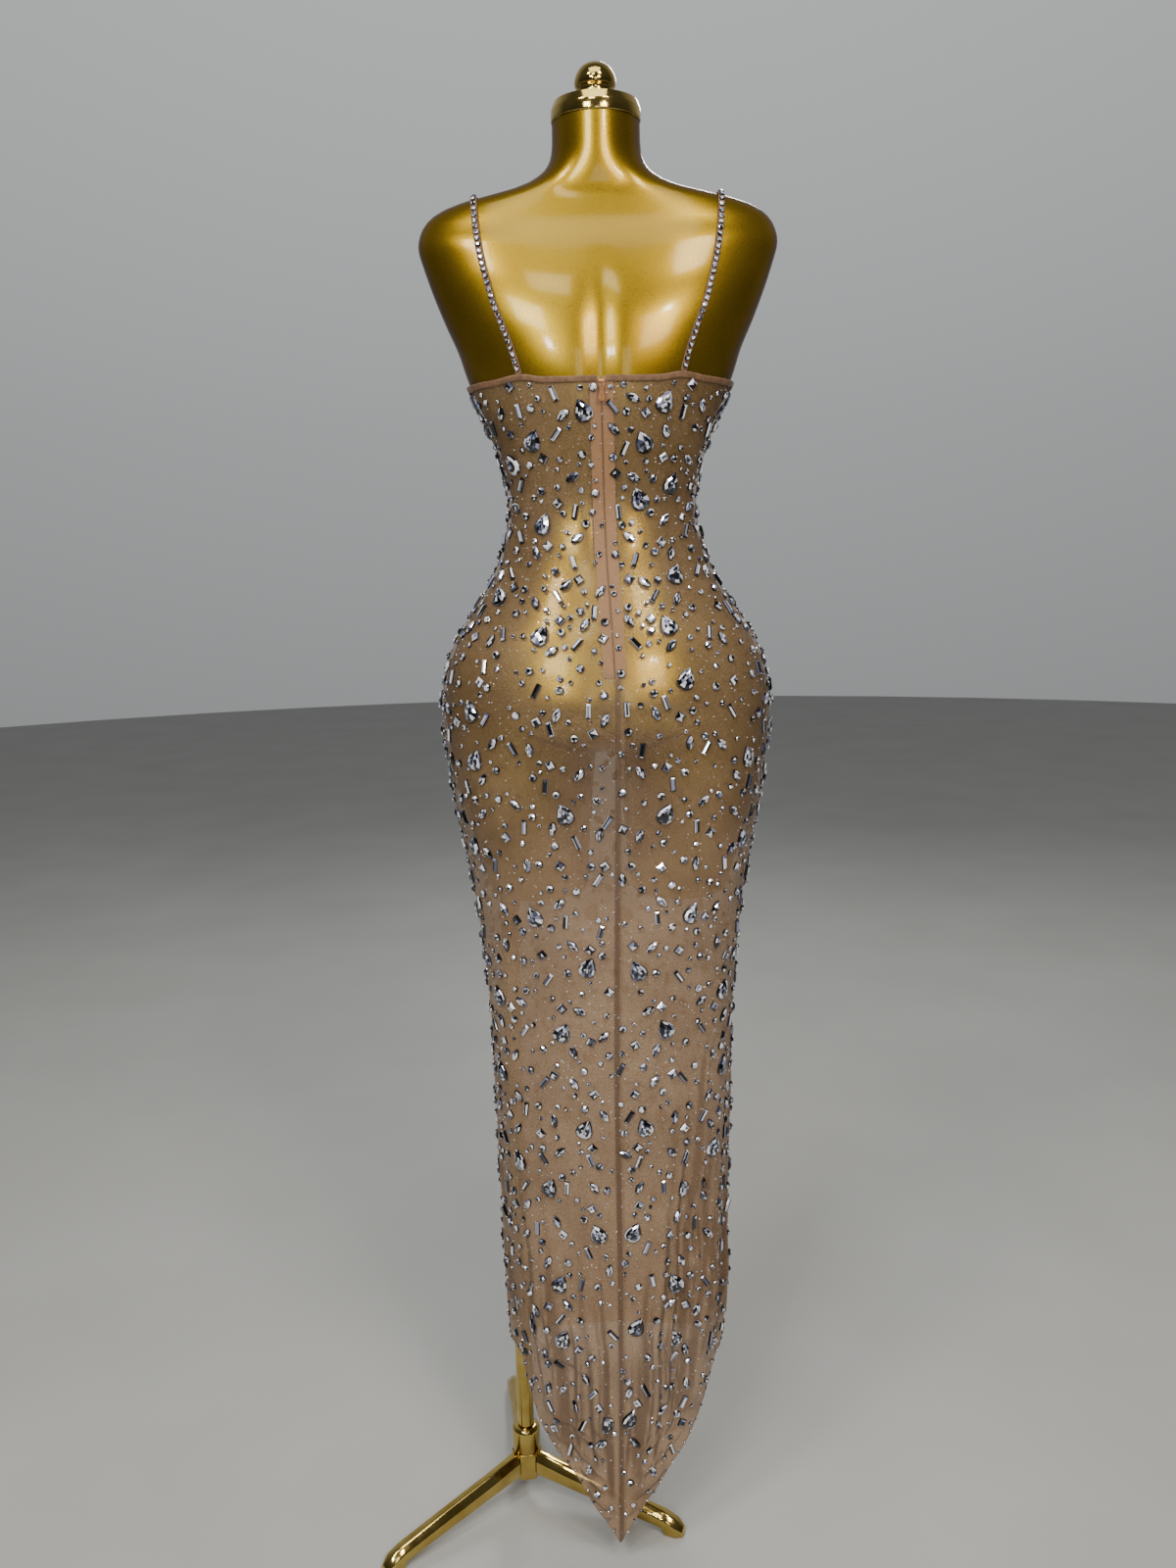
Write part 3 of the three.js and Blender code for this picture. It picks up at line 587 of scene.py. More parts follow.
def softened_copy(name: str, node: str, width: float, segments: int = 2) -> bpy.types.Object:
    """Copies a CAD node with its sharp edges rounded, and replaces it.

    Args:
        name: name of the new piece.
        node: the CAD node.
        width: width of the rounding, in millimetres.
        segments: facets across the rounding.

    Returns:
        The piece.
    """
    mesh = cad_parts[node].data.copy()
    mesh.name = name
    mesh.materials.clear()
    work = bmesh.new()
    work.from_mesh(mesh)
    bmesh.ops.remove_doubles(work, verts=work.verts, dist=2e-6)
    bmesh.ops.dissolve_limit(
        work, angle_limit=math.radians(1), verts=work.verts, edges=work.edges, delimit={"NORMAL"}
    )
    hard = [edge for edge in work.edges if edge.calc_face_angle(0) > math.radians(28)]
    bmesh.ops.bevel(
        work,
        geom=hard,
        offset=width * MM,
        segments=segments,
        profile=0.5,
        affect="EDGES",
        clamp_overlap=True,
    )
    work.to_mesh(mesh)
    work.free()
    mesh.shade_smooth()
    sharpen(mesh, 40)
    made = new_object(name, mesh)
    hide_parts(node)
    return made


# Finishes


def srgb(code: str) -> tuple[float, float, float, float]:
    """Turns an sRGB hex colour into a linear one."""
    values = [int(code[i : i + 2], 16) / 255 for i in (1, 3, 5)]
    red, green, blue = (v / 12.92 if v <= 0.04045 else ((v + 0.055) / 1.055) ** 2.4 for v in values)
    return red, green, blue, 1.0


def add_node(
    tree: bpy.types.NodeTree, kind: str, settings: dict | None = None, inputs: dict | None = None
) -> bpy.types.Node:
    """Adds a node to a tree.

    Args:
        tree: the tree.
        kind: type of the node.
        settings: values of the node's own properties.
        inputs: a link or a value for each input, by its name or number.

    Returns:
        The node.
    """
    node = tree.nodes.new(kind)
    for name, value in (settings or {}).items():
        setattr(node, name, value)
    for key, value in (inputs or {}).items():
        if isinstance(value, bpy.types.NodeSocket):
            tree.links.new(value, node.inputs[key])
        else:
            node.inputs[key].default_value = value
    return node


def set_stops(node: bpy.types.Node, stops: Sequence[tuple[float, str]]) -> None:
    """Sets the stops of a colour ramp, each a place and a hex colour."""
    band = node.color_ramp
    while len(band.elements) > 1:
        band.elements.remove(band.elements[-1])
    band.elements[0].position = stops[0][0]
    band.elements[0].color = srgb(stops[0][1])
    for place, code in stops[1:]:
        band.elements.new(place).color = srgb(code)


class Paint:
    """A material with one principled shader, and the trees of nodes that feed it.

    Args:
        name: name of the material, for what the real one is.
        values: values for the shader's own sockets.
    """

    def __init__(self, name: str, values: dict) -> None:
        self.material = bpy.data.materials.new(name)
        self.material.use_nodes = True
        self.tree = self.material.node_tree
        self.shader = next(n for n in self.tree.nodes if n.type == "BSDF_PRINCIPLED")
        for key, value in values.items():
            self.shader.inputs[key].default_value = value
        self.place = add_node(self.tree, "ShaderNodeTexCoord")

    def node(self, kind: str, settings: dict | None = None, inputs: dict | None = None) -> bpy.types.Node:
        """Adds a node to the material."""
        return add_node(self.tree, kind, settings, inputs)

    def noise(self, scale: float, detail: float = 3, map_name: str = "Object") -> bpy.types.NodeSocket:
        """Adds an even noise, with its scale per metre."""
        inputs = {"Vector": self.place.outputs[map_name], "Scale": scale, "Detail": detail}
        return self.node("ShaderNodeTexNoise", None, inputs).outputs["Fac"]

    def ramp(
        self, factor: bpy.types.NodeSocket, stops: Sequence[tuple[float, str]], step: bool = False
    ) -> bpy.types.NodeSocket:
        """Turns a factor into colours, by stops of place and hex colour."""
        node = self.node("ShaderNodeValToRGB", None, {"Fac": factor})
        node.color_ramp.interpolation = "CONSTANT" if step else "LINEAR"
        set_stops(node, stops)
        return node.outputs["Color"]

    def mix(
        self, factor: bpy.types.NodeSocket, first: bpy.types.NodeSocket, second: bpy.types.NodeSocket
    ) -> bpy.types.NodeSocket:
        """Mixes two colours."""
        inputs = {0: factor, 6: first, 7: second}
        return self.node("ShaderNodeMix", {"data_type": "RGBA"}, inputs).outputs[2]

    def span(self, value: bpy.types.NodeSocket, source: tuple, target: tuple) -> bpy.types.NodeSocket:
        """Maps a value from one range to another."""
        inputs = {0: value, 1: source[0], 2: source[1], 3: target[0], 4: target[1]}
        return self.node("ShaderNodeMapRange", None, inputs).outputs[0]

    def sum(self, first: bpy.types.NodeSocket, second: bpy.types.NodeSocket) -> bpy.types.NodeSocket:
        """Adds two values, and keeps the sum from 0 to 1."""
        settings = {"operation": "ADD", "use_clamp": True}
        return self.node("ShaderNodeMath", settings, {0: first, 1: second}).outputs[0]

    def mark(self, name: str) -> bpy.types.NodeSocket:
        """Reads a value that the mesh keeps."""
        return self.node("ShaderNodeAttribute", {"attribute_name": name}).outputs["Fac"]

    def plain(self, code: str) -> bpy.types.NodeSocket:
        """Gives one plain colour."""
        node = self.node("ShaderNodeRGB")
        node.outputs[0].default_value = srgb(code)
        return node.outputs[0]

    def bump(self, height: bpy.types.NodeSocket, strength: float, depth: float) -> None:
        """Gives the surface a relief, with its depth in metres."""
        inputs = {"Height": height, "Strength": strength, "Distance": depth}
        node = self.node("ShaderNodeBump", None, inputs)
        self.tree.links.new(node.outputs["Normal"], self.shader.inputs["Normal"])

    def feed(self, socket: str, value: bpy.types.NodeSocket) -> None:
        """Links a value to the shader."""
        self.tree.links.new(value, self.shader.inputs[socket])


@dataclass(frozen=True)
class StretchMesh:
    """Nude power mesh, a fine warp knit of polyamide and elastane."""

    light: str = "#B69878"
    dark: str = "#9F8264"
    double: str = "#AD825A"
    # Painted shade colour for the steep sides of folds and the seam, also used for denser doubled cloth.
    shade_and_density_colour: str = "#69503A"
    cell: float = 2.0
    yarn_cover: float = 0.12

    def material(self) -> bpy.types.Material:
        """Gives a sheer cloth, more open where it is stretched over the form than in the skirt."""
        paint = Paint("stretch_mesh_nude", {"Roughness": 0.6, "Sheen Weight": 0.08, "Sheen Roughness": 0.4})
        # The real holes are under a millimetre; they are drawn coarser, so that they show as a soft grain.
        inputs = {"Vector": paint.place.outputs["UV"], "Scale": 1 / (self.cell * MM)}
        net = paint.node("ShaderNodeTexVoronoi", {"feature": "DISTANCE_TO_EDGE"}, inputs).outputs["Distance"]
        yarn = paint.span(net, (0.02, 0.22), (1, 0))
        tone = paint.ramp(paint.noise(14, 4), [(0.35, self.dark), (0.65, self.light)])
        fine = paint.ramp(yarn, [(0, "#DED9D6"), (1, "#FFFFFF")])
        inputs = {0: 1.0, 6: tone, 7: fine}
        shade = paint.node("ShaderNodeMix", {"data_type": "RGBA", "blend_type": "MULTIPLY"}, inputs)
        # Painted shade: the cloth is darkened on the steep sides of folds and beside the seam, and doubled
        # cloth a little as well.
        pinch = paint.mark("pinch")
        doubled = paint.mark("doubled")
        shade_and_density = paint.sum(paint.span(pinch, (0, 1), (0, 0.8)), paint.span(doubled, (0, 0.5), (0, 0.3)))
        loose = paint.mix(shade_and_density, shade.outputs[2], paint.plain(self.shade_and_density_colour))
        in_band = paint.span(doubled, (0.6, 0.8), (0, 0.8))
        band = paint.mix(pinch, paint.plain(self.double), paint.plain(self.shade_and_density_colour))
        paint.feed("Base Color", paint.mix(in_band, loose, band))
        cover = paint.mark("cover")
        grain = paint.span(yarn, (0, 1), (-self.yarn_cover / 2, self.yarn_cover / 2))
        paint.feed("Alpha", paint.sum(cover, grain))
        paint.bump(paint.sum(yarn, paint.noise(420, 2)), 0.25, 0.0004)
        return paint.material


@dataclass(frozen=True)
class RibbedStrip:
    """Woven or folded strip of polyester, with fine ribs across it."""

    name: str
    light: str
    dark: str
    rib: float = 1.1
    cover: float = 1.0

    def material(self) -> bpy.types.Material:
        """Gives a matt strip with ribs that catch a little light."""
        values = {"Roughness": 0.7, "Sheen Weight": 0.12, "Sheen Roughness": 0.4, "Alpha": self.cover}
        paint = Paint(self.name, values)
        inputs = {"Vector": paint.place.outputs["UV"], "Scale": 1 / (self.rib * MM) / 6.3, "Distortion": 0.4}
        settings = {"wave_type": "BANDS", "bands_direction": "Y"}
        ribs = paint.node("ShaderNodeTexWave", settings, inputs).outputs["Fac"]
        stripes = paint.span(ribs, (0, 1), (0, 0.4))
        cloud = paint.span(paint.noise(160), (0.3, 0.7), (0, 0.6))
        mottle = paint.sum(stripes, cloud)
        paint.feed("Base Color", paint.ramp(mottle, [(0.15, self.dark), (0.8, self.light)]))
        paint.bump(ribs, 0.35, 0.0003)
        return paint.material


@dataclass(frozen=True)
class FoiledCrystal:
    """Cut glass with a silver foil behind it, its facets painted from dark shade to white glints."""

    def material(self) -> bpy.types.Material:
        """Gives clear stones whose facets are painted from blue-black shade to white glints."""
        values = {"Metallic": 0.35, "Roughness": 0.08, "Coat Weight": 1.0, "Coat Roughness": 0.02}
        paint = Paint("foiled_crystal", values)
        stops = [
            (0.0, "#06070B"),
            (0.28, "#1C1E29"),
            (0.42, "#50546A"),
            (0.56, "#9095AE"),
            (0.7, "#E6EAF7"),
            (0.82, "#FFFFFF"),
        ]
        # Painted glints and shade: each facet's tone stands for what it would reflect.
        paint.feed("Base Color", paint.ramp(paint.mark("facet"), stops, step=True))
        return paint.material


@dataclass(frozen=True)
class GoldLacquer:
    """Pearl gold lacquer, sprayed on glass fibre and polished."""

    light: str = "#987C20"
    dark: str = "#7E6411"
    grazing: str = "#5A4A10"

    def material(self) -> bpy.types.Material:
        """Gives a soft metallic gold under a hard, clear gloss."""
        values = {
            "Metallic": 0.88,
            "Roughness": 0.3,
            "Specular Tint": srgb(self.grazing),
            "Coat Weight": 0.35,
            "Coat Roughness": 0.1,
        }
        paint = Paint("gold_pearl_lacquer", values)
        cloud = paint.noise(7, 2)
        paint.feed("Base Color", paint.ramp(cloud, [(0.3, self.dark), (0.7, self.light)]))
        # The pearl flakes are a tenth of a millimetre; they are drawn coarser.
        flake = paint.noise(1400, 1)
        paint.feed("Roughness", paint.span(flake, (0.3, 0.7), (0.25, 0.37)))
        paint.bump(paint.noise(45, 2), 0.04, 0.002)
        return paint.material


@dataclass(frozen=True)
class PolishedBrass:
    """Brass plate on steel, buffed."""

    name: str = "polished_brass"
    light: str = "#CDB468"
    dark: str = "#B1954A"
    rough: tuple[float, float] = (0.05, 0.14)

    def material(self) -> bpy.types.Material:
        """Gives a bright yellow metal with faint buffing marks and smears."""
        paint = Paint(self.name, {"Metallic": 1.0})
        smear = paint.noise(38, 5)
        paint.feed("Base Color", paint.ramp(smear, [(0.3, self.dark), (0.7, self.light)]))
        paint.feed("Roughness", paint.span(smear, (0.3, 0.7), self.rough))
        paint.bump(paint.noise(900, 2), 0.05, 0.0003)
        return paint.material


@dataclass(frozen=True)
class ColouredMetal:
    """Zinc casting, lacquered nude to match the zip."""

    def material(self) -> bpy.types.Material:
        """Gives a small glossy part with slightly worn lacquer."""
        values = {"Metallic": 0.5, "Roughness": 0.24, "Coat Weight": 0.4, "Coat Roughness": 0.1}
        paint = Paint("lacquered_zinc_nude", values)
        wear = paint.noise(900, 4)
        paint.feed("Base Color", paint.ramp(wear, [(0.35, "#A0693F"), (0.7, "#D8A274")]))
        paint.bump(wear, 0.08, 0.0001)
        return paint.material


@dataclass(frozen=True)
class PaleFloor:
    """Pale painted studio floor."""

    def material(self) -> bpy.types.Material:
        """Gives a plain matt floor."""
        paint = Paint("pale_studio_floor", {"Roughness": 0.75})
        paint.feed("Base Color", paint.ramp(paint.noise(3, 2), [(0.3, "#ADAEAB"), (0.7, "#B3B4B1")]))
        return paint.material


class Slot(Enum):
    """Material slots of the record."""

    MESH = "mesh_cloth"
    BINDING = "binding_cloth"
    TAPE = "zip_tape"
    ZIP = "zip_metal"
    CRYSTAL = "crystal"
    LACQUER = "gold_lacquer"
    METAL = "gold_metal"


class Wardrobe:
    """Makes each material once, and dresses pieces in them."""

    def __init__(self) -> None:
        self.materials = {
            Slot.MESH: StretchMesh().material(),
            Slot.BINDING: RibbedStrip("self_binding_nude", "#7C5C40", "#5A4029").material(),
            Slot.TAPE: RibbedStrip("zip_tape_nude", "#B4895F", "#98704A", rib=0.9, cover=0.8).material(),
            Slot.ZIP: ColouredMetal().material(),
            Slot.CRYSTAL: FoiledCrystal().material(),
            Slot.LACQUER: GoldLacquer().material(),
            Slot.METAL: PolishedBrass().material(),
        }

    def dress(self, piece: bpy.types.Object, slot: Slot, body: str = MAIN_BODY) -> bpy.types.Object:
        """Gives a piece the material of its slot, and lets it ride on a body."""
        piece.data.materials.clear()
        piece.data.materials.append(self.materials[slot])
        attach(piece, body)
        LOG.info("%s: %d faces, %s", piece.name, len(piece.data.polygons), slot.value)
        return piece


# Camera, lights and floor


@dataclass(frozen=True)
class Viewpoint:
    """The photograph's camera, found from its upright and level lines.

    Its place is in millimetres round the form, and its long side is 36 mm.
    """

    place: tuple[float, float, float] = (-22.3, -1420, 1200)
    lens: float = 28.42
    pitch_down: float = 10.56
    roll: float = -1.16

    def build(self) -> bpy.types.Object:
        """Makes the camera and hands it to the scene."""
        data = bpy.data.cameras.new("camera")
        data.sensor_width = 36
        data.lens = self.lens
        camera = bpy.data.objects.new("camera", data)
        bpy.context.scene.collection.objects.link(camera)
        turn = Matrix.Rotation(math.radians(90 - self.pitch_down), 4, "X")
        roll = Matrix.Rotation(math.radians(self.roll), 4, "Z")
        camera.matrix_world = Matrix.Translation(Vector(to_metres(self.place))) @ turn @ roll
        bpy.context.scene.camera = camera
        return camera


@dataclass(frozen=True)
class Panel:
    """One soft light: place and target in metres, size and power."""

    name: str
    place: tuple[float, float, float]
    target: tuple[float, float, float]
    width: float
    height: float
    power: float
    tint: str = "#FFFFFF"


@dataclass(frozen=True)
class Studio:
    """Pale floor, grey room light and soft panels."""

    room_stops: tuple[tuple[float, str], ...] = (
        (0.0, "#7E7F80"),
        (0.42, "#9A9C9D"),
        (0.55, "#B0B2B3"),
        (0.75, "#DADBDC"),
    )
    room_strength: float = 0.9
    room_sides: tuple[tuple[float, str], ...] = (
        (0.0, "#666666"),
        (0.5, "#6E6E6E"),
        (0.8, "#D8D8D8"),
        (1.0, "#FFFFFF"),
    )
    panels: tuple[Panel, ...] = (
        Panel("light_key_left", (-1.3, -1.7, 3.4), (0, 0, 0.8), 0.5, 0.5, 28, "#FFF8EE"),
        Panel("light_key_right", (1.0, -1.8, 3.4), (0, 0, 0.8), 0.5, 0.5, 22, "#FFF8EE"),
        Panel("light_window", (-0.3, -1.9, 3.0), (0, 0, 1.4), 0.5, 0.4, 6, "#FFFFFF"),
        Panel("light_low_left", (-0.75, -2.0, 2.2), (0, 0, 1.0), 0.5, 0.5, 18, "#FFFFFF"),
        Panel("light_low_right", (0.75, -2.0, 2.0), (0, 0, 1.0), 0.5, 0.5, 15, "#FFEED8"),
        Panel("light_fill", (0.2, -2.8, 1.5), (0, 0, 0.4), 0.5, 0.9, 5.5, "#F4F7FF"),
        Panel("light_top", (0.0, -0.8, 3.1), (0, 0, 1.2), 1.3, 0.9, 13, "#FFFFFF"),
        Panel("light_back", (0.5, 2.2, 2.7), (0, 0, 1.0), 0.6, 0.5, 22, "#FFFFFF"),
    )
    sparks: tuple[tuple[float, float, float], ...] = ((-0.7, -2.6, 1.9), (0.9, -2.2, 2.4), (0.2, 2.6, 2.4))

    def build(self) -> None:
        """Makes the floor, the world and the lights."""
        turns = np.radians(np.arange(0, 360, 5))
        rim = np.column_stack([9000 * np.cos(turns), 9000 * np.sin(turns), np.full(len(turns), -0.5)])
        floor = new_object("studio_floor", new_mesh("studio_floor", rim, [range(len(turns))]))
        floor.data.materials.append(PaleFloor().material())
        world = bpy.data.worlds.new("room")
        world.use_nodes = True
        tree = world.node_tree
        way = add_node(tree, "ShaderNodeTexCoord")
        parts = add_node(tree, "ShaderNodeSeparateXYZ", None, {0: way.outputs["Generated"]})
        bands = []
        for axis, stops in (("Z", self.room_stops), ("Y", self.room_sides)):
            share = add_node(tree, "ShaderNodeMapRange", None, {0: parts.outputs[axis], 1: -1.0, 2: 1.0})
            band = add_node(tree, "ShaderNodeValToRGB", None, {"Fac": share.outputs[0]})
            set_stops(band, stops)
            bands.append(band.outputs["Color"])
        settings = {"data_type": "RGBA", "blend_type": "MULTIPLY"}
        both = add_node(tree, "ShaderNodeMix", settings, {0: 1.0, 6: bands[0], 7: bands[1]})
        back = next(n for n in tree.nodes if n.type == "BACKGROUND")
        tree.links.new(both.outputs[2], back.inputs["Color"])
        back.inputs["Strength"].default_value = self.room_strength
        bpy.context.scene.world = world
        for panel in self.panels:
            self.light(panel)
        for i, place in enumerate(self.sparks):
            self.light(Panel(f"light_spark_{i}", place, (0, 0, 0.9), 0.12, 0.12, 9))

    def light(self, panel: Panel) -> None:
        """Makes one area light that looks at its target."""
        data = bpy.data.lights.new(panel.name, "AREA")
        data.shape = "RECTANGLE"
        data.size = panel.width
        data.size_y = panel.height
        data.energy = panel.power
        data.color = srgb(panel.tint)[:3]
        lamp = bpy.data.objects.new(panel.name, data)
        bpy.context.scene.collection.objects.link(lamp)
        lamp.location = panel.place
        way = Vector(panel.target) - Vector(panel.place)
        lamp.rotation_euler = way.to_track_quat("-Z", "Y").to_euler()


# The dress

# Millimetres of cloth for each degree of turn, beside the side seams
SIDE_ARC = 2.4


@dataclass
class DressPanels:
    """The three panels of the dress, as thin shells of sheer mesh.

    The seam distances are the columns beside the centre back seam, which keep the edges of the zip's band
    and of the seam allowance crisp. The hem steps are the rows above the hem, and the crowding draws the
    other rows closer to it.
    """

    wardrobe: Wardrobe
    thickness: float = 0.8
    seam_gap: float = 0.3
    seam_steps: tuple[float, ...] = (0.15, 2, 4.5, 7, 8.9, 9.4, 11.9, 12.5, 16)
    hem_steps: tuple[float, ...] = (0, 1.4, 2.8, 3.4)
    crowding: float = 1.45
    rows: int = 290
    side_columns: int = 62
    front_columns: int = 126
    allowance: float = 9
    zip_half: float = 12.2
    zip_bottom: float = 1070
    see_through: tuple[tuple[float, float], ...] = (
        (0, 0.05),
        (200, 0.1),
        (420, 0.2),
        (700, 0.26),
        (790, 0.32),
        (860, 0.43),
        (940, 0.6),
        (1010, 0.72),
        (1110, 0.7),
        (1180, 0.7),
        (1386, 0.7),
    )

    def levels(self, turn_low: Array, turn_high: Array) -> Array:
        """Gives the level of each row at each column, from the hem to the neckline."""
        hem = hem_at(np.abs(turn_low))
        neck = neck_at(np.abs(turn_high))
        start = self.hem_steps[-1]
        share = np.linspace(0, 1, self.rows + 1)[1:, None] ** self.crowding
        upper = hem + start + (neck - hem - start) * share
        lower = hem + np.array(self.hem_steps)[:, None]
        return np.concatenate([lower, upper])

    def back_angles(self, side: int, level: Array) -> Array:
        """Gives the angle of each column of a back panel, from the seam to the side."""
        seam = seam_at(level[:, :1])
        steps = np.array(self.seam_steps)
        near = back_angle(seam + side * steps, level[:, : len(steps)])
        gap = np.degrees(self.seam_gap / 2 / DRESS_SECTIONS.at(level[:, :1])[0])
        end = -gap if side > 0 else -180 + gap
        share = np.linspace(0, 1, self.side_columns + 1)[1:]
        far = near[:, -1:] + (end - near[:, -1:]) * share
        return np.concatenate([near, far], axis=1)

    def grid(self, side: int) -> tuple[Array, Array]:
        """Gives the angles and levels of a back panel, or of the front one where side is 0."""
        if side == 0:
            angle = np.linspace(0.08, 179.92, self.front_columns + 1)
            turn = turn_of(angle)
            level = self.levels(turn, turn)
            return np.broadcast_to(angle, level.shape), level
        count = len(self.seam_steps) + self.side_columns
        low = turn_of(self.back_angles(side, np.full((1, count), 150.0)))[0]
        high = turn_of(self.back_angles(side, np.full((1, count), 1379.0)))[0]
        level = self.levels(low, high)
        angle = self.back_angles(side, level)
        return (angle, level) if side > 0 else (angle[:, ::-1], level[:, ::-1])

    def doubled(self, side: int, angle: Array, level: Array, points: Array) -> Array:
        """Tells where the cloth lies double: zip band, seam allowances and hem."""
        from_side = np.abs(np.abs(turn_of(angle)) - 90) * SIDE_ARC
        mark = np.where(from_side < self.allowance, 0.45, 0)
        hem = level - level[0]
        mark = np.maximum(mark, np.where(hem < 3, 0.5, 0))
        if side != 0:
            off = side * (points[..., 0] - seam_at(level))
            in_zip = (off < self.zip_half) & (level > self.zip_bottom + 0.25 * off)
            mark = np.where(in_zip, 0.8, mark)
            if side > 0:
                mark = np.where((off < self.allowance + 0.2) & ~in_zip, np.maximum(mark, 0.5), mark)
        return mark.astype(float)

    def cover(self, level: Array, doubled: Array, pinch: Array) -> Array:
        """Tells how much one face of the cloth covers, from how much light its layer lets through."""
        through = table_curve(self.see_through)(level) * (1 - 0.6 * doubled) * (1 - 0.5 * pinch)
        return 1 - np.sqrt(through)

    def pinch(self, side: int, angle: Array, level: Array, points: Array) -> Array:
        """Gives painted shade, where the cloth is also denser: on the steep sides of folds and by the seam.
        """
        rise = CLOTH.relief(angle + 0.4, level) - CLOTH.relief(angle - 0.4, level)
        round_ = rise / (0.8 * math.radians(1) * DRESS_SECTIONS.at(level)[0])
        up = (CLOTH.relief(angle, level + 1) - CLOTH.relief(angle, level - 1)) / 2
        steep = smooth_step(0.08, 0.6, np.hypot(round_, up))
        if side == 0:
            return steep
        off = np.abs(points[..., 0] - seam_at(level))
        wide = 5 if side > 0 else 1
        at_seam = (off < wide) & ((level < self.zip_bottom) | (off < 1))
        return np.maximum(steep, np.where(at_seam, 0.8, 0))

    def build(self) -> dict[str, bpy.types.Object]:
        """Makes the panels."""
        names = {-1: "cloth_back_left", 1: "cloth_back_right", 0: "cloth_front"}
        nodes = {-1: "dress_back_left", 1: "dress_back_right", 0: "dress_front"}
        made = {}
        for side, name in names.items():
            angle, level = self.grid(side)
            outer = CLOTH.face(angle, level)
            inner = outer - CLOTH.normal(angle, level) * self.thickness
            doubled = self.doubled(side, angle, level, outer)
            pinch = self.pinch(side, angle, level, outer)
            marks = {"doubled": doubled, "pinch": pinch, "cover": self.cover(level, doubled, pinch)}
            piece = cloth_wall(name, outer, inner, marks)
            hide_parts(nodes[side])
            made[name] = self.wardrobe.dress(piece, Slot.MESH)
        return made


@dataclass
class NeckBinding:
    """Narrow self binding that wraps the top edge, from one side of the zip round to the other."""

    wardrobe: Wardrobe
    zip_half: float = 5
    steps: int = 420
    section: tuple[tuple[float, float], ...] = (
        (-5.5, 0.1),
        (-5.4, 0.7),
        (-4.8, 1.1),
        (-3, 1.2),
        (-1, 1.35),
        (0.1, 1.3),
        (0.7, 0.9),
        (0.8, 0.2),
        (0.6, -0.7),
        (0, -1.2),
        (-1.2, -1.3),
        (-1.2, -0.9),
        (-0.2, -0.85),
        (0.1, 0.1),
    )

    def angles(self) -> Array:
        """Gives the angles along the binding, anticlockwise from the zip's right side."""
        first = float(back_angle(self.zip_half, 1379.0))
        last = float(back_angle(-self.zip_half, 1379.0)) + 360
        return np.linspace(first, last, self.steps + 1)

    def build(self) -> bpy.types.Object:
        """Makes the binding, slightly uneven where it is drawn in."""
        angle = self.angles()[:, None]
        up = np.array([row[0] for row in self.section])
        out = np.array([row[1] for row in self.section])
        pucker = 0.12 * np.sin(angle * 1.9) + 0.1 * np.sin(angle * 4.3 + 1)
        level = neck_at(np.abs(turn_of(angle))) + up
        rings = CLOTH.face(angle, level) + CLOTH.normal(angle, level) * (out + pucker)[..., None]
        piece = loft("cloth_binding", rings)
        add_strip_map(piece, rings)
        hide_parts("neckline_binding")
        return self.wardrobe.dress(piece, Slot.BINDING)


def add_strip_map(piece: bpy.types.Object, rings: Array) -> None:
    """Gives a lofted strip a UV map, across and along it in metres."""
    along = lengths_along(rings, 0)[:, :1] + np.zeros(rings.shape[:2])
    around = lengths_along(rings, 1)
    flat = np.stack([around, along], axis=-1).reshape(-1, 2)
    layer = piece.data.uv_layers.new(name="threads")
    corners = np.zeros(len(piece.data.loops), int)
    piece.data.loops.foreach_get("vertex_index", corners)
    layer.data.foreach_set("uv", flat[corners].ravel())


# Straps: turn in the plane from back to front, how far across
STRAP = [(-38, 85), (-5, 101), (20, 112), (90, 130), (165, 106), (206, 76)]
strap_across = table_curve(STRAP)


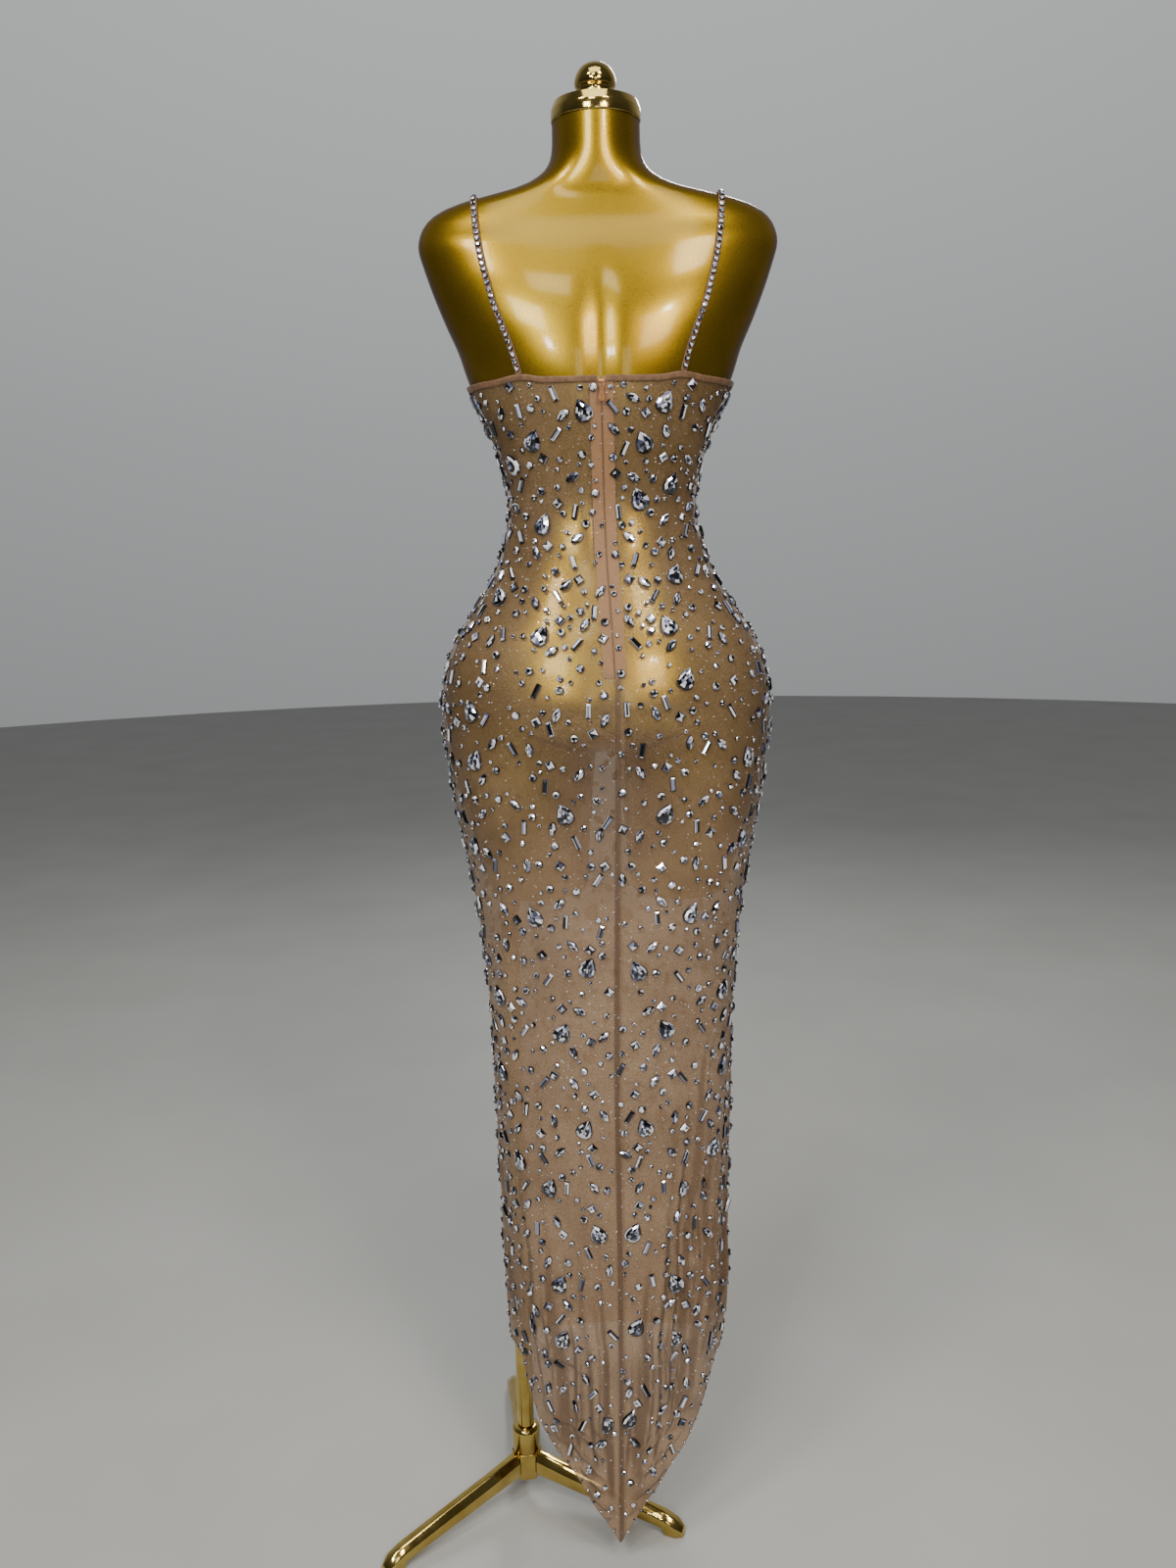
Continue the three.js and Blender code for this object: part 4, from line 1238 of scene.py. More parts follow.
@dataclass
class Straps:
    """Two spaghetti straps, each a folded ribbon that carries one row of round stones."""

    wardrobe: Wardrobe
    depth: float = -6
    level: float = 1440
    tuck: float = 3
    steps: int = 120
    section: tuple[tuple[float, float], ...] = (
        (-3.5, 1.35),
        (-3.5, 2.2),
        (-3.1, 2.6),
        (-1.5, 2.7),
        (1.5, 2.7),
        (3.1, 2.6),
        (3.5, 2.2),
        (3.5, 1.35),
    )
    pitch: float = 7.0
    stone: float = 6.1

    def field(self, point: Array) -> float:
        """Is under 1 inside the form and over 1 outside it."""
        half, back, front, power = FORM_SECTIONS.at(np.clip(point[2], 986, 1645.7))
        bust = bust_at(point[0], point[1], point[2])
        depth = point[1] / back if point[1] < 0 else (point[1] - bust) / front
        return float(abs(point[0] / half) ** power + abs(depth) ** power)

    def place(self, turn: float) -> Array:
        """Gives the place on the form under the middle of the right strap."""
        t = math.radians(turn)
        start = np.array([float(strap_across(turn)), self.depth, self.level])
        way = np.array([0, -math.cos(t), math.sin(t)])
        inside, outside = 0.0, 220.0
        for _ in range(26):
            middle = (inside + outside) / 2
            if self.field(start + way * middle) < 1:
                inside = middle
            else:
                outside = middle
        return start + way * inside

    def normal(self, place: Array) -> Array:
        """Gives the outward normal of the form at a place."""
        steps = np.eye(3) * 0.5
        slope = np.array([self.field(place + s) - self.field(place - s) for s in steps])
        return slope / np.linalg.norm(slope)

    def end_turn(self, low: float, high: float, rising: bool) -> float:
        """Finds the turn at which the strap reaches a little under the neckline."""
        for _ in range(26):
            middle = (low + high) / 2
            x, y, z = self.place(middle)
            edge = float(neck_at(abs(turn_of(math.degrees(math.atan2(y, x)))))) - self.tuck
            if (z < edge) == rising:
                low = middle
            else:
                high = middle
        return (low + high) / 2

    def rings(self) -> tuple[Array, Array, Array, Array]:
        """Gives places, normals, ways along and ways across of the right strap."""
        turns = np.linspace(self.end_turn(-38, 60, True), self.end_turn(120, 206, False), self.steps + 1)
        places = np.array([self.place(turn) for turn in turns])
        normals = np.array([self.normal(place) for place in places])
        along = np.gradient(places, axis=0)
        along /= np.linalg.norm(along, axis=1, keepdims=True)
        across = np.cross(along, normals)
        across /= np.linalg.norm(across, axis=1, keepdims=True)
        return places, normals, along, across

    def build(self) -> tuple[dict[str, bpy.types.Object], dict[str, "StoneRows"]]:
        """Makes both ribbons, and lays out the stones on them."""
        places, normals, along, across = self.rings()
        sideways = np.array([row[0] for row in self.section])[None, :, None]
        out = np.array([row[1] for row in self.section])[None, :, None]
        ribbon = places[:, None] + across[:, None] * sideways + normals[:, None] * out
        steps = np.linalg.norm(np.diff(places, axis=0), axis=1)
        length = np.concatenate([[0], np.cumsum(steps)])
        marks = np.arange(self.tuck + 3, length[-1] - self.tuck - 2, self.pitch)

        def sampled(values: Array) -> Array:
            """Reads values along the strap at the stones."""
            return np.column_stack([np.interp(marks, length, values[:, i]) for i in range(3)])

        pieces, stones = {}, {}
        for side, word in ((-1, "left"), (1, "right")):
            mirror = np.array([side, 1, 1])
            piece = loft(f"strap_ribbon_{word}", ribbon * mirror)
            add_strip_map(piece, ribbon * mirror)
            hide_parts(f"strap_{word}")
            pieces[word] = self.wardrobe.dress(piece, Slot.BINDING)
            stones[word] = StoneRows(
                places=(sampled(places) + sampled(normals) * 2.6) * mirror,
                out=sampled(normals) * mirror,
                along=sampled(along) * mirror,
                sizes=np.tile([self.stone, self.stone, 2.1], (len(marks), 1)),
                kinds=np.full(len(marks), Cut.BEAD.number),
            )
        return pieces, stones


@dataclass
class BackZip:
    """Centre back zip: two tapes and a fine coil behind the seam, with its slider and pull drop."""

    wardrobe: Wardrobe
    top: float = 1376
    bottom: float = 1072
    tape: float = 12
    pitch: float = 1.5

    def tape_strip(self, side: int) -> bpy.types.Object:
        """Makes one tape, inside the cloth."""
        word = "left" if side < 0 else "right"
        level = np.linspace(self.bottom, self.top, 90)[:, None]
        across = seam_at(level) + side * np.linspace(0.3, self.tape, 7)
        angle = back_angle(across, level)
        level = np.broadcast_to(level, angle.shape)
        order = slice(None) if side > 0 else slice(None, None, -1)
        angle, level = angle[:, order], level[:, order]
        normal = CLOTH.normal(angle, level)
        face = CLOTH.face(angle, level)
        piece = cloth_wall(f"tape_{word}", face - normal * 1.2, face - normal * 1.8)
        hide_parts(f"zip_tape_{word}")
        return self.wardrobe.dress(piece, Slot.TAPE)

    def coil(self, setter: "StoneSetter") -> bpy.types.Object:
        """Makes the coil's turns on both sides of the seam."""
        level = np.arange(self.bottom + 4, 1364, self.pitch)
        rows = []
        for side in (-1, 1):
            across = seam_at(level) + side * 0.9
            angle = back_angle(across, level)
            normal = CLOTH.normal(angle, level)
            rows.append((CLOTH.face(angle, level) - normal * 1.15, normal))
        places = np.concatenate([row[0] for row in rows])
        normals = np.concatenate([row[1] for row in rows])
        stones = StoneRows(
            places=places,
            out=normals,
            along=np.tile([0.0, 0.0, 1.0], (len(places), 1)),
            sizes=np.tile([1.5, 0.9, 0.8], (len(places), 1)),
            kinds=np.full(len(places), Cut.BAGUETTE.number),
        )
        piece = setter.set("zip_coil", stones, 5)
        return self.wardrobe.dress(piece, Slot.TAPE)

    def slider(self) -> bpy.types.Object:
        """Makes the slider, with its edges rounded."""
        piece = softened_copy("slider_body", "zip_slider", 0.22)
        return self.wardrobe.dress(piece, Slot.ZIP)

    def pull(self) -> bpy.types.Object:
        """Makes the pull drop, with its edges rounded."""
        piece = softened_copy("pull_drop", "zip_pull_tab", 0.2)
        return self.wardrobe.dress(piece, Slot.ZIP, PULL_BODY)

    def build(self, setter: "StoneSetter") -> list[bpy.types.Object]:
        """Makes the zip's pieces."""
        return [self.tape_strip(-1), self.tape_strip(1), self.coil(setter), self.slider(), self.pull()]


# Stones


class Cut(Enum):
    """Cuts of stone, with the number that marks a place for one."""

    PEAR = "pear"
    NAVETTE = "navette"
    BAGUETTE = "baguette"
    SQUARE = "square"
    ROUND = "round"
    BEAD = "bead"
    CHIP = "chip"

    @property
    def number(self) -> int:
        """Gives the cut's place in the list."""
        return list(Cut).index(self)

    def outline(self, turn: Array) -> Array:
        """Gives the outline at a turn in radians, within a unit square."""
        x, y = np.sin(turn), np.cos(turn)
        if self is Cut.PEAR:
            x = np.sin(turn) * np.abs(np.sin(turn / 2)) * 1.3
        elif self is Cut.NAVETTE:
            x = np.sign(x) * (1 - y * y) ** 0.8
        elif self in (Cut.BAGUETTE, Cut.SQUARE):
            reach = 1 / np.maximum(np.abs(x), np.abs(y))
            x, y = x * reach, y * reach
        return np.stack([x, y], axis=-1) / 2


@dataclass(frozen=True)
class Facets:
    """How one cut is faceted.

    Each ring, from the flat back to the table, has its share of the width, of the length and of the height,
    and a lift for the painted glints and shade of the facets under it. A split table has facets of its own.
    """

    cut: Cut
    count: int
    rings: tuple[tuple[float, float, float, float], ...]
    split_table: bool = False
    start: float = 0.0
    table_lift: float = 0.0

    def build(self) -> bpy.types.Object:
        """Makes the stone in a unit box, with flat facets."""
        turns = self.start + np.arange(self.count) * 2 * math.pi / self.count
        points, faces, lifts = [], [], []
        for i, (across, along, height, lift) in enumerate(self.rings):
            points += [(x, y, height) for x, y in self.cut.outline(turns) * (across, along)]
            for j in range(self.count if i else 0):
                low, high = (i - 1) * self.count, i * self.count
                k = (j + 1) % self.count
                faces.append((low + j, low + k, high + k, high + j))
                lifts.append(lift)
        top = (len(self.rings) - 1) * self.count
        if self.split_table:
            points.append((0, 0, self.rings[-1][2] * 0.97))
            faces += [(top + j, top + (j + 1) % self.count, len(points) - 1) for j in range(self.count)]
        else:
            faces.append(tuple(range(top, top + self.count)))
        faces.append(tuple(reversed(range(self.count))))
        lifts += [self.table_lift] * (len(faces) - len(lifts))
        mesh = bpy.data.meshes.new(f"cut_{self.cut.value}")
        mesh.from_pydata(points, [], faces)
        mesh.attributes.new("lift", "FLOAT", "FACE").data.foreach_set("value", lifts)
        work = bmesh.new()
        work.from_mesh(mesh)
        bmesh.ops.recalc_face_normals(work, faces=work.faces)
        work.to_mesh(mesh)
        work.free()
        return new_object(mesh.name, mesh)


# Painted shade on the outer ring of facets, which gives each stone a dark edge.
RIM_SHADE = -0.45
FACETS = (
    Facets(
        Cut.PEAR,
        12,
        (
            (0.97, 0.97, -0.1, 0),
            (1, 1, 0.3, RIM_SHADE),
            (0.88, 0.9, 0.55, -0.2),
            (0.64, 0.68, 0.84, 0.04),
            (0.36, 0.4, 1, -0.1),
        ),
        split_table=True,
        table_lift=-0.12,
    ),
    Facets(
        Cut.NAVETTE,
        8,
        ((0.97, 0.97, -0.1, 0), (1, 1, 0.3, RIM_SHADE), (0.84, 0.88, 0.6, -0.25), (0.5, 0.6, 1, 0.1)),
        split_table=True,
    ),
    Facets(
        Cut.BAGUETTE,
        4,
        ((1, 1, -0.1, 0), (1, 1, 0.3, RIM_SHADE), (0.84, 0.93, 0.6, -0.25), (0.34, 0.74, 1, 0.05)),
        start=math.pi / 4,
    ),
    Facets(
        Cut.SQUARE,
        4,
        ((1, 1, -0.1, 0), (1, 1, 0.3, RIM_SHADE), (0.86, 0.86, 0.5, -0.2), (0.52, 0.52, 1, 0.05)),
        split_table=True,
        start=math.pi / 4,
    ),
    Facets(
        Cut.ROUND,
        8,
        ((0.97, 0.97, -0.1, 0), (1, 1, 0.35, RIM_SHADE), (0.84, 0.84, 0.6, -0.25), (0.46, 0.46, 1, 0.15)),
        table_lift=-0.1,
    ),
    Facets(
        Cut.BEAD,
        8,
        ((0.97, 0.97, -0.1, 0), (1, 1, 0.35, RIM_SHADE), (0.8, 0.8, 0.7, RIM_SHADE), (0.44, 0.44, 1, 0.05)),
        table_lift=0.3,
    ),
    Facets(Cut.CHIP, 5, ((1, 1, -0.1, 0.3), (0.6, 0.6, 1, 0.4)), table_lift=0.4),
)


@dataclass
class StoneRows:
    """Places for stones, in millimetres, with their ways, sizes and cuts."""

    places: Array
    out: Array
    along: Array
    sizes: Array
    kinds: Array


class StoneSetter:
    """A tree of Geometry Nodes that sets a cut stone at each marked point.

    Args:
        finish: the stones' material.
    """

    def __init__(self, finish: bpy.types.Material) -> None:
        self.cuts = {facets.cut: facets.build() for facets in FACETS}
        self.tree = bpy.data.node_groups.new("set_stones", "GeometryNodeTree")
        ports = self.tree.interface
        ports.new_socket(name="Points", in_out="INPUT", socket_type="NodeSocketGeometry")
        self.seed = ports.new_socket(name="Facet seed", in_out="INPUT", socket_type="NodeSocketInt")
        self.scale = ports.new_socket(name="Stone scale", in_out="INPUT", socket_type="NodeSocketFloat")
        ports.new_socket(name="Stones", in_out="OUTPUT", socket_type="NodeSocketGeometry")
        self.build(finish)

    def named(self, name: str, kind: str) -> bpy.types.NodeSocket:
        """Reads an attribute of the points."""
        settings = {"data_type": kind}
        node = add_node(self.tree, "GeometryNodeInputNamedAttribute", settings, {"Name": name})
        return node.outputs["Attribute"]

    def build(self, finish: bpy.types.Material) -> None:
        """Builds the nodes: a branch for each cut, the facets' painted glints and shade, and the material.
        """
        tree = self.tree
        source = tree.nodes.new("NodeGroupInput")
        ways = {
            "Primary Axis": self.named("out", "FLOAT_VECTOR"),
            "Secondary Axis": self.named("along", "FLOAT_VECTOR"),
        }
        axes = {"primary_axis": "Z", "secondary_axis": "Y"}
        turn = add_node(tree, "FunctionNodeAxesToRotation", axes, ways)
        grow = {0: self.named("size", "FLOAT_VECTOR"), "Scale": source.outputs["Stone scale"]}
        size = add_node(tree, "ShaderNodeVectorMath", {"operation": "SCALE"}, grow)
        join = tree.nodes.new("GeometryNodeJoinGeometry")
        for cut, stone in self.cuts.items():
            settings = {"data_type": "INT", "operation": "EQUAL"}
            inputs = {2: self.named("kind", "INT"), 3: cut.number}
            is_cut = add_node(tree, "FunctionNodeCompare", settings, inputs)
            shape = add_node(tree, "GeometryNodeObjectInfo", None, {"Object": stone})
            inputs = {
                "Points": source.outputs["Points"],
                "Selection": is_cut.outputs[0],
                "Instance": shape.outputs["Geometry"],
                "Rotation": turn.outputs[0],
                "Scale": size.outputs[0],
            }
            placed = add_node(tree, "GeometryNodeInstanceOnPoints", None, inputs)
            tree.links.new(placed.outputs[0], join.inputs[0])
        real = add_node(tree, "GeometryNodeRealizeInstances", None, {0: join.outputs[0]})
        # Each facet gets a random painted tone, from shade to glint, shifted by its ring's lift.
        tone = add_node(
            tree, "FunctionNodeRandomValue", {"data_type": "FLOAT"}, {"Seed": source.outputs["Facet seed"]}
        )
        inputs = {0: self.named("lift", "FLOAT"), 1: tone.outputs[1]}
        lifted = add_node(tree, "ShaderNodeMath", {"operation": "ADD"}, inputs)
        inputs = {"Geometry": real.outputs[0], "Name": "facet", "Value": lifted.outputs[0]}
        settings = {"data_type": "FLOAT", "domain": "FACE"}
        marked = add_node(tree, "GeometryNodeStoreNamedAttribute", settings, inputs)
        inputs = {"Geometry": marked.outputs[0], "Material": finish}
        dressed = add_node(tree, "GeometryNodeSetMaterial", None, inputs)
        sink = tree.nodes.new("NodeGroupOutput")
        tree.links.new(dressed.outputs[0], sink.inputs[0])

    def set(self, name: str, stones: StoneRows, seed: int) -> bpy.types.Object:
        """Sets stones at their places.

        Args:
            name: name of the piece.
            stones: the places.
            seed: seed of the facets' painted glints and shade.

        Returns:
            One piece with every stone, as a plain mesh.
        """
        mesh = bpy.data.meshes.new(name)
        mesh.from_pydata(to_metres(stones.places).tolist(), [], [])
        store(mesh, "out", "FLOAT_VECTOR", stones.out)
        store(mesh, "along", "FLOAT_VECTOR", stones.along)
        store(mesh, "size", "FLOAT_VECTOR", stones.sizes)
        store(mesh, "kind", "INT", stones.kinds.astype(np.int32))
        piece = new_object(name, mesh)
        modifier = piece.modifiers.new("stones", "NODES")
        modifier.node_group = self.tree
        modifier[self.seed.identifier] = seed
        modifier[self.scale.identifier] = MM
        graph = bpy.context.evaluated_depsgraph_get()
        plain = bpy.data.meshes.new_from_object(piece.evaluated_get(graph), depsgraph=graph)
        piece.modifiers.clear()
        piece.data = plain
        plain.name = name
        return piece

    def clear(self) -> None:
        """Removes the loose cuts."""
        for stone in self.cuts.values():
            bpy.data.objects.remove(stone)


@dataclass(frozen=True)
class StoneKind:
    """A kind of stone: cut, width, length, height, how many a square metre of skirt has, and its lean."""

    cut: Cut
    width: float
    length: float
    height: float
    density: float
    lean: float

    @property
    def reach(self) -> float:
        """Gives the radius that it keeps free."""
        return (self.width + self.length) / 4

    @property
    def apart(self) -> float:
        """Gives how far the middles of two stones of this kind are apart at least."""
        return 0.54 / math.sqrt(self.density) / MM


STONE_KINDS = (
    StoneKind(Cut.NAVETTE, 9.4, 17.0, 3.6, 210, 65),
    StoneKind(Cut.BAGUETTE, 5.6, 16.0, 3.2, 190, 42),
    StoneKind(Cut.SQUARE, 9.2, 9.2, 3.4, 140, 45),
    StoneKind(Cut.ROUND, 9.2, 9.2, 3.6, 360, 30),
    StoneKind(Cut.ROUND, 6.8, 6.8, 2.8, 460, 30),
    StoneKind(Cut.ROUND, 5.0, 5.0, 2.2, 520, 30),
)
PEAR_KIND = StoneKind(Cut.PEAR, 19.6, 24.8, 5.2, 1, 0)
HEM_KIND = StoneKind(Cut.ROUND, 3.6, 3.6, 1.9, 1, 0)
PANEL_AREA = 0.3


@dataclass
class StoneField:
    """Stones of the back or the front, each with its mirrored fellow on the other half.

    Pears stand where the CAD has them. The others are thrown at random, the large ones first, and each is
    kept where it lies clear of those before it. Packing multiplies each kind's density. The skirt's share
    and half width tell how much more sparsely the skirt is set. A fellow stands off its mirrored place by
    up to the twin's turn, in degrees, and rise.
    """

    seed: int
    front: bool
    bodice: float = 1110
    spacing: float = 3.1
    margin: float = 2.5
    tries: int = 28
    lowest: float = 30
    highest: float = 1376
    packing: float = 1.4
    skirt_share: float = 0.37
    skirt_half: float = 160
    twin_turn: float = 1.4
    twin_rise: float = 5
    hem_pitch: float = 3.7
    hem_rise: float = 3.2
    glitter: int = 1200
    grain_widths: tuple[float, ...] = (1.1, 1.4, 1.4, 1.8)

    def __post_init__(self) -> None:
        self.draw = np.random.default_rng(self.seed)
        self.stones: list[tuple[StoneKind, float, float, float]] = []
        self.places = np.zeros((0, 3))
        self.reaches = np.zeros(0)

    def free(self, place: Array, kind: StoneKind, first: int) -> bool:
        """Tells whether a stone is clear of the others, and well away from those of its own kind."""
        away = np.linalg.norm(self.places - place, axis=1)
        clear = (away - self.reaches).min() > kind.reach + self.spacing
        return bool(clear and away[first:].min(initial=kind.apart) >= kind.apart)

    def keep(self, kind: StoneKind, angle: float, level: float, lean: float, place: Array) -> None:
        """Keeps a stone."""
        self.stones.append((kind, float(angle), float(level), float(lean)))
        self.places = np.vstack([self.places, place])
        self.reaches = np.append(self.reaches, kind.reach)

    def on_cloth(self, angle: Array, level: Array, reach: float) -> Array:
        """Tells which stones lie on the cloth, clear of its edges and seams."""
        turn = np.abs(turn_of(angle))
        clear = reach * 0.8
        inside = (level > hem_at(turn) + clear + self.margin) & (level < neck_at(turn) - 6 - clear)
        inside = inside & (np.abs(turn - 90) * SIDE_ARC > reach * 0.9 + 0.6)
        if self.front:
            return inside
        across = CLOTH.face(angle, level)[..., 0] - seam_at(level)
        return inside & (np.abs(across) > reach + 0.8)

    def throw(self, kind: StoneKind) -> None:
        """Throws one kind of stone, and sets their mirrored fellows with a little jitter."""
        wanted = int(kind.density * PANEL_AREA * self.packing)
        count = wanted * self.tries
        level = self.draw.uniform(self.lowest, self.highest, count)
        angle = self.draw.uniform(0, 180, count) * (1 if self.front else -1)
        lean = self.draw.uniform(-kind.lean, kind.lean, count)
        if kind.cut is Cut.SQUARE:
            lean = 45 + lean * 0.4
        # The bodice and waist are set more closely than the skirt.
        half = DRESS_SECTIONS.at(level)[0]
        room = np.where(level > self.bodice, 1, self.skirt_share * half / self.skirt_half)
        good = self.on_cloth(angle, level, kind.reach) & (self.draw.random(count) < room)
        places = CLOTH.face(angle, level)
        shake = np.array([1.0, 0.4, 0.0])[:, None]
        swerve = self.draw.uniform(-self.twin_turn, self.twin_turn, count) * shake
        twin_angle = (180 if self.front else -180) - angle + swerve
        twin_level = level + self.draw.uniform(-self.twin_rise, self.twin_rise, count) * shake
        twin_good = self.on_cloth(twin_angle, twin_level, kind.reach)
        twin_places = CLOTH.face(twin_angle, twin_level)
        first = len(self.places)
        kept = 0
        for i in np.flatnonzero(good):
            if kept == wanted:
                break
            if not self.free(places[i], kind, first):
                continue
            self.keep(kind, angle[i], level[i], lean[i], places[i])
            kept += 1
            for j in np.flatnonzero(twin_good[:, i]):
                if self.free(twin_places[j, i], kind, first):
                    self.keep(kind, twin_angle[j, i], twin_level[j, i], -lean[i], twin_places[j, i])
                    break
        LOG.info("%s %.1f mm: %d of %d", kind.cut.value, kind.width, kept, wanted)

    def pears(self) -> None:
        """Sets the large pears where the CAD has them."""
        for row, (level, left, right, rise) in enumerate(PEARS):
            lean = PEAR_FAN if row % 2 else -PEAR_FAN
            for across, own, turn in ((-left, level, lean), (right, level + rise, -lean)):
                angle = float(back_angle(across, own))
                if self.front:
                    if own < FRONT_PEARS_ABOVE or abs(across) > FRONT_PEARS_WITHIN:
                        continue
                    angle, turn = -angle, -turn
                self.keep(PEAR_KIND, angle, own, turn, CLOTH.face(np.array(angle), np.array(own)))

    def hem_row(self) -> None:
        """Sets small stones along the hem."""
        angles = np.arange(-89, 89.5, self.hem_pitch) + (90 if self.front else -90)
        levels = hem_at(np.abs(turn_of(angles))) + self.hem_rise
        places = CLOTH.face(angles, levels)
        for angle, level, place in zip(angles, levels, places):
            if self.front or abs(turn_of(angle)) > 1.6:
                self.keep(HEM_KIND, angle, level, 0, place)

    def dust(self) -> Array:
        """Throws glitter over the cloth between the stones: its angles, levels and sizes."""
        count = self.glitter * 2
        level = self.draw.uniform(32, 1370, count)
        angle = self.draw.uniform(0.5, 179.5, count) * (1 if self.front else -1)
        turn = np.abs(turn_of(angle))
        inside = (level > hem_at(turn) + 3) & (level < neck_at(turn) - 8)
        size = self.draw.choice(self.grain_widths, count)
        return np.column_stack([angle, level, size])[inside]

    def rows(self) -> StoneRows:
        """Lays out every stone of the field."""
        self.pears()
        self.hem_row()
        for kind in STONE_KINDS:
            self.throw(kind)
        angles = np.array([stone[1] for stone in self.stones])
        levels = np.array([stone[2] for stone in self.stones])
        leans = np.radians([stone[3] for stone in self.stones])
        sizes = np.array([[s[0].width, s[0].length, s[0].height] for s in self.stones])
        kinds = np.array([stone[0].cut.number for stone in self.stones])
        grains = self.dust()
        angles = np.concatenate([angles, grains[:, 0]])
        levels = np.concatenate([levels, grains[:, 1]])
        leans = np.concatenate([leans, grains[:, 0]])
        grain_sizes = np.column_stack([grains[:, 2], grains[:, 2], grains[:, 2] * 0.45])
        sizes = np.concatenate([sizes, grain_sizes])
        kinds = np.concatenate([kinds, np.full(len(grains), Cut.CHIP.number)])
        normal = CLOTH.normal(angles, levels)
        across = np.cross([0.0, 0.0, 1.0], normal)
        across /= np.linalg.norm(across, axis=1, keepdims=True)
        up = np.cross(normal, across)
        along = up * np.cos(leans)[:, None] + across * np.sin(leans)[:, None]
        places = CLOTH.face(angles, levels) + normal * 0.05
        return StoneRows(places, normal, along, sizes, kinds)


@dataclass
class DressStones:
    """Every stone of the dress, in one piece for each panel and strap."""

    wardrobe: Wardrobe
    setter: StoneSetter

    def build(self, strap_stones: dict[str, StoneRows]) -> dict[str, bpy.types.Object]:
        """Sets the stones of the back, the front and the straps."""
        back = StoneField(seed=11, front=False).rows()
        front = StoneField(seed=23, front=True).rows()
        seam = seam_at(back.places[:, 2])
        left = back.places[:, 0] < seam
        groups = {
            "stones_back_left": self.chosen(back, left),
            "stones_back_right": self.chosen(back, ~left),
            "stones_front": front,
            "stones_strap_left": strap_stones["left"],
            "stones_strap_right": strap_stones["right"],
        }
        made = {}
        for seed, (name, rows) in enumerate(groups.items()):
            piece = self.setter.set(name, rows, seed)
            made[name] = self.wardrobe.dress(piece, Slot.CRYSTAL)
        return made

    def chosen(self, rows: StoneRows, mask: Array) -> StoneRows:
        """Takes the marked rows."""
        fields = (rows.places, rows.out, rows.along, rows.sizes, rows.kinds)
        return StoneRows(*(values[mask] for values in fields))


# Form and stand


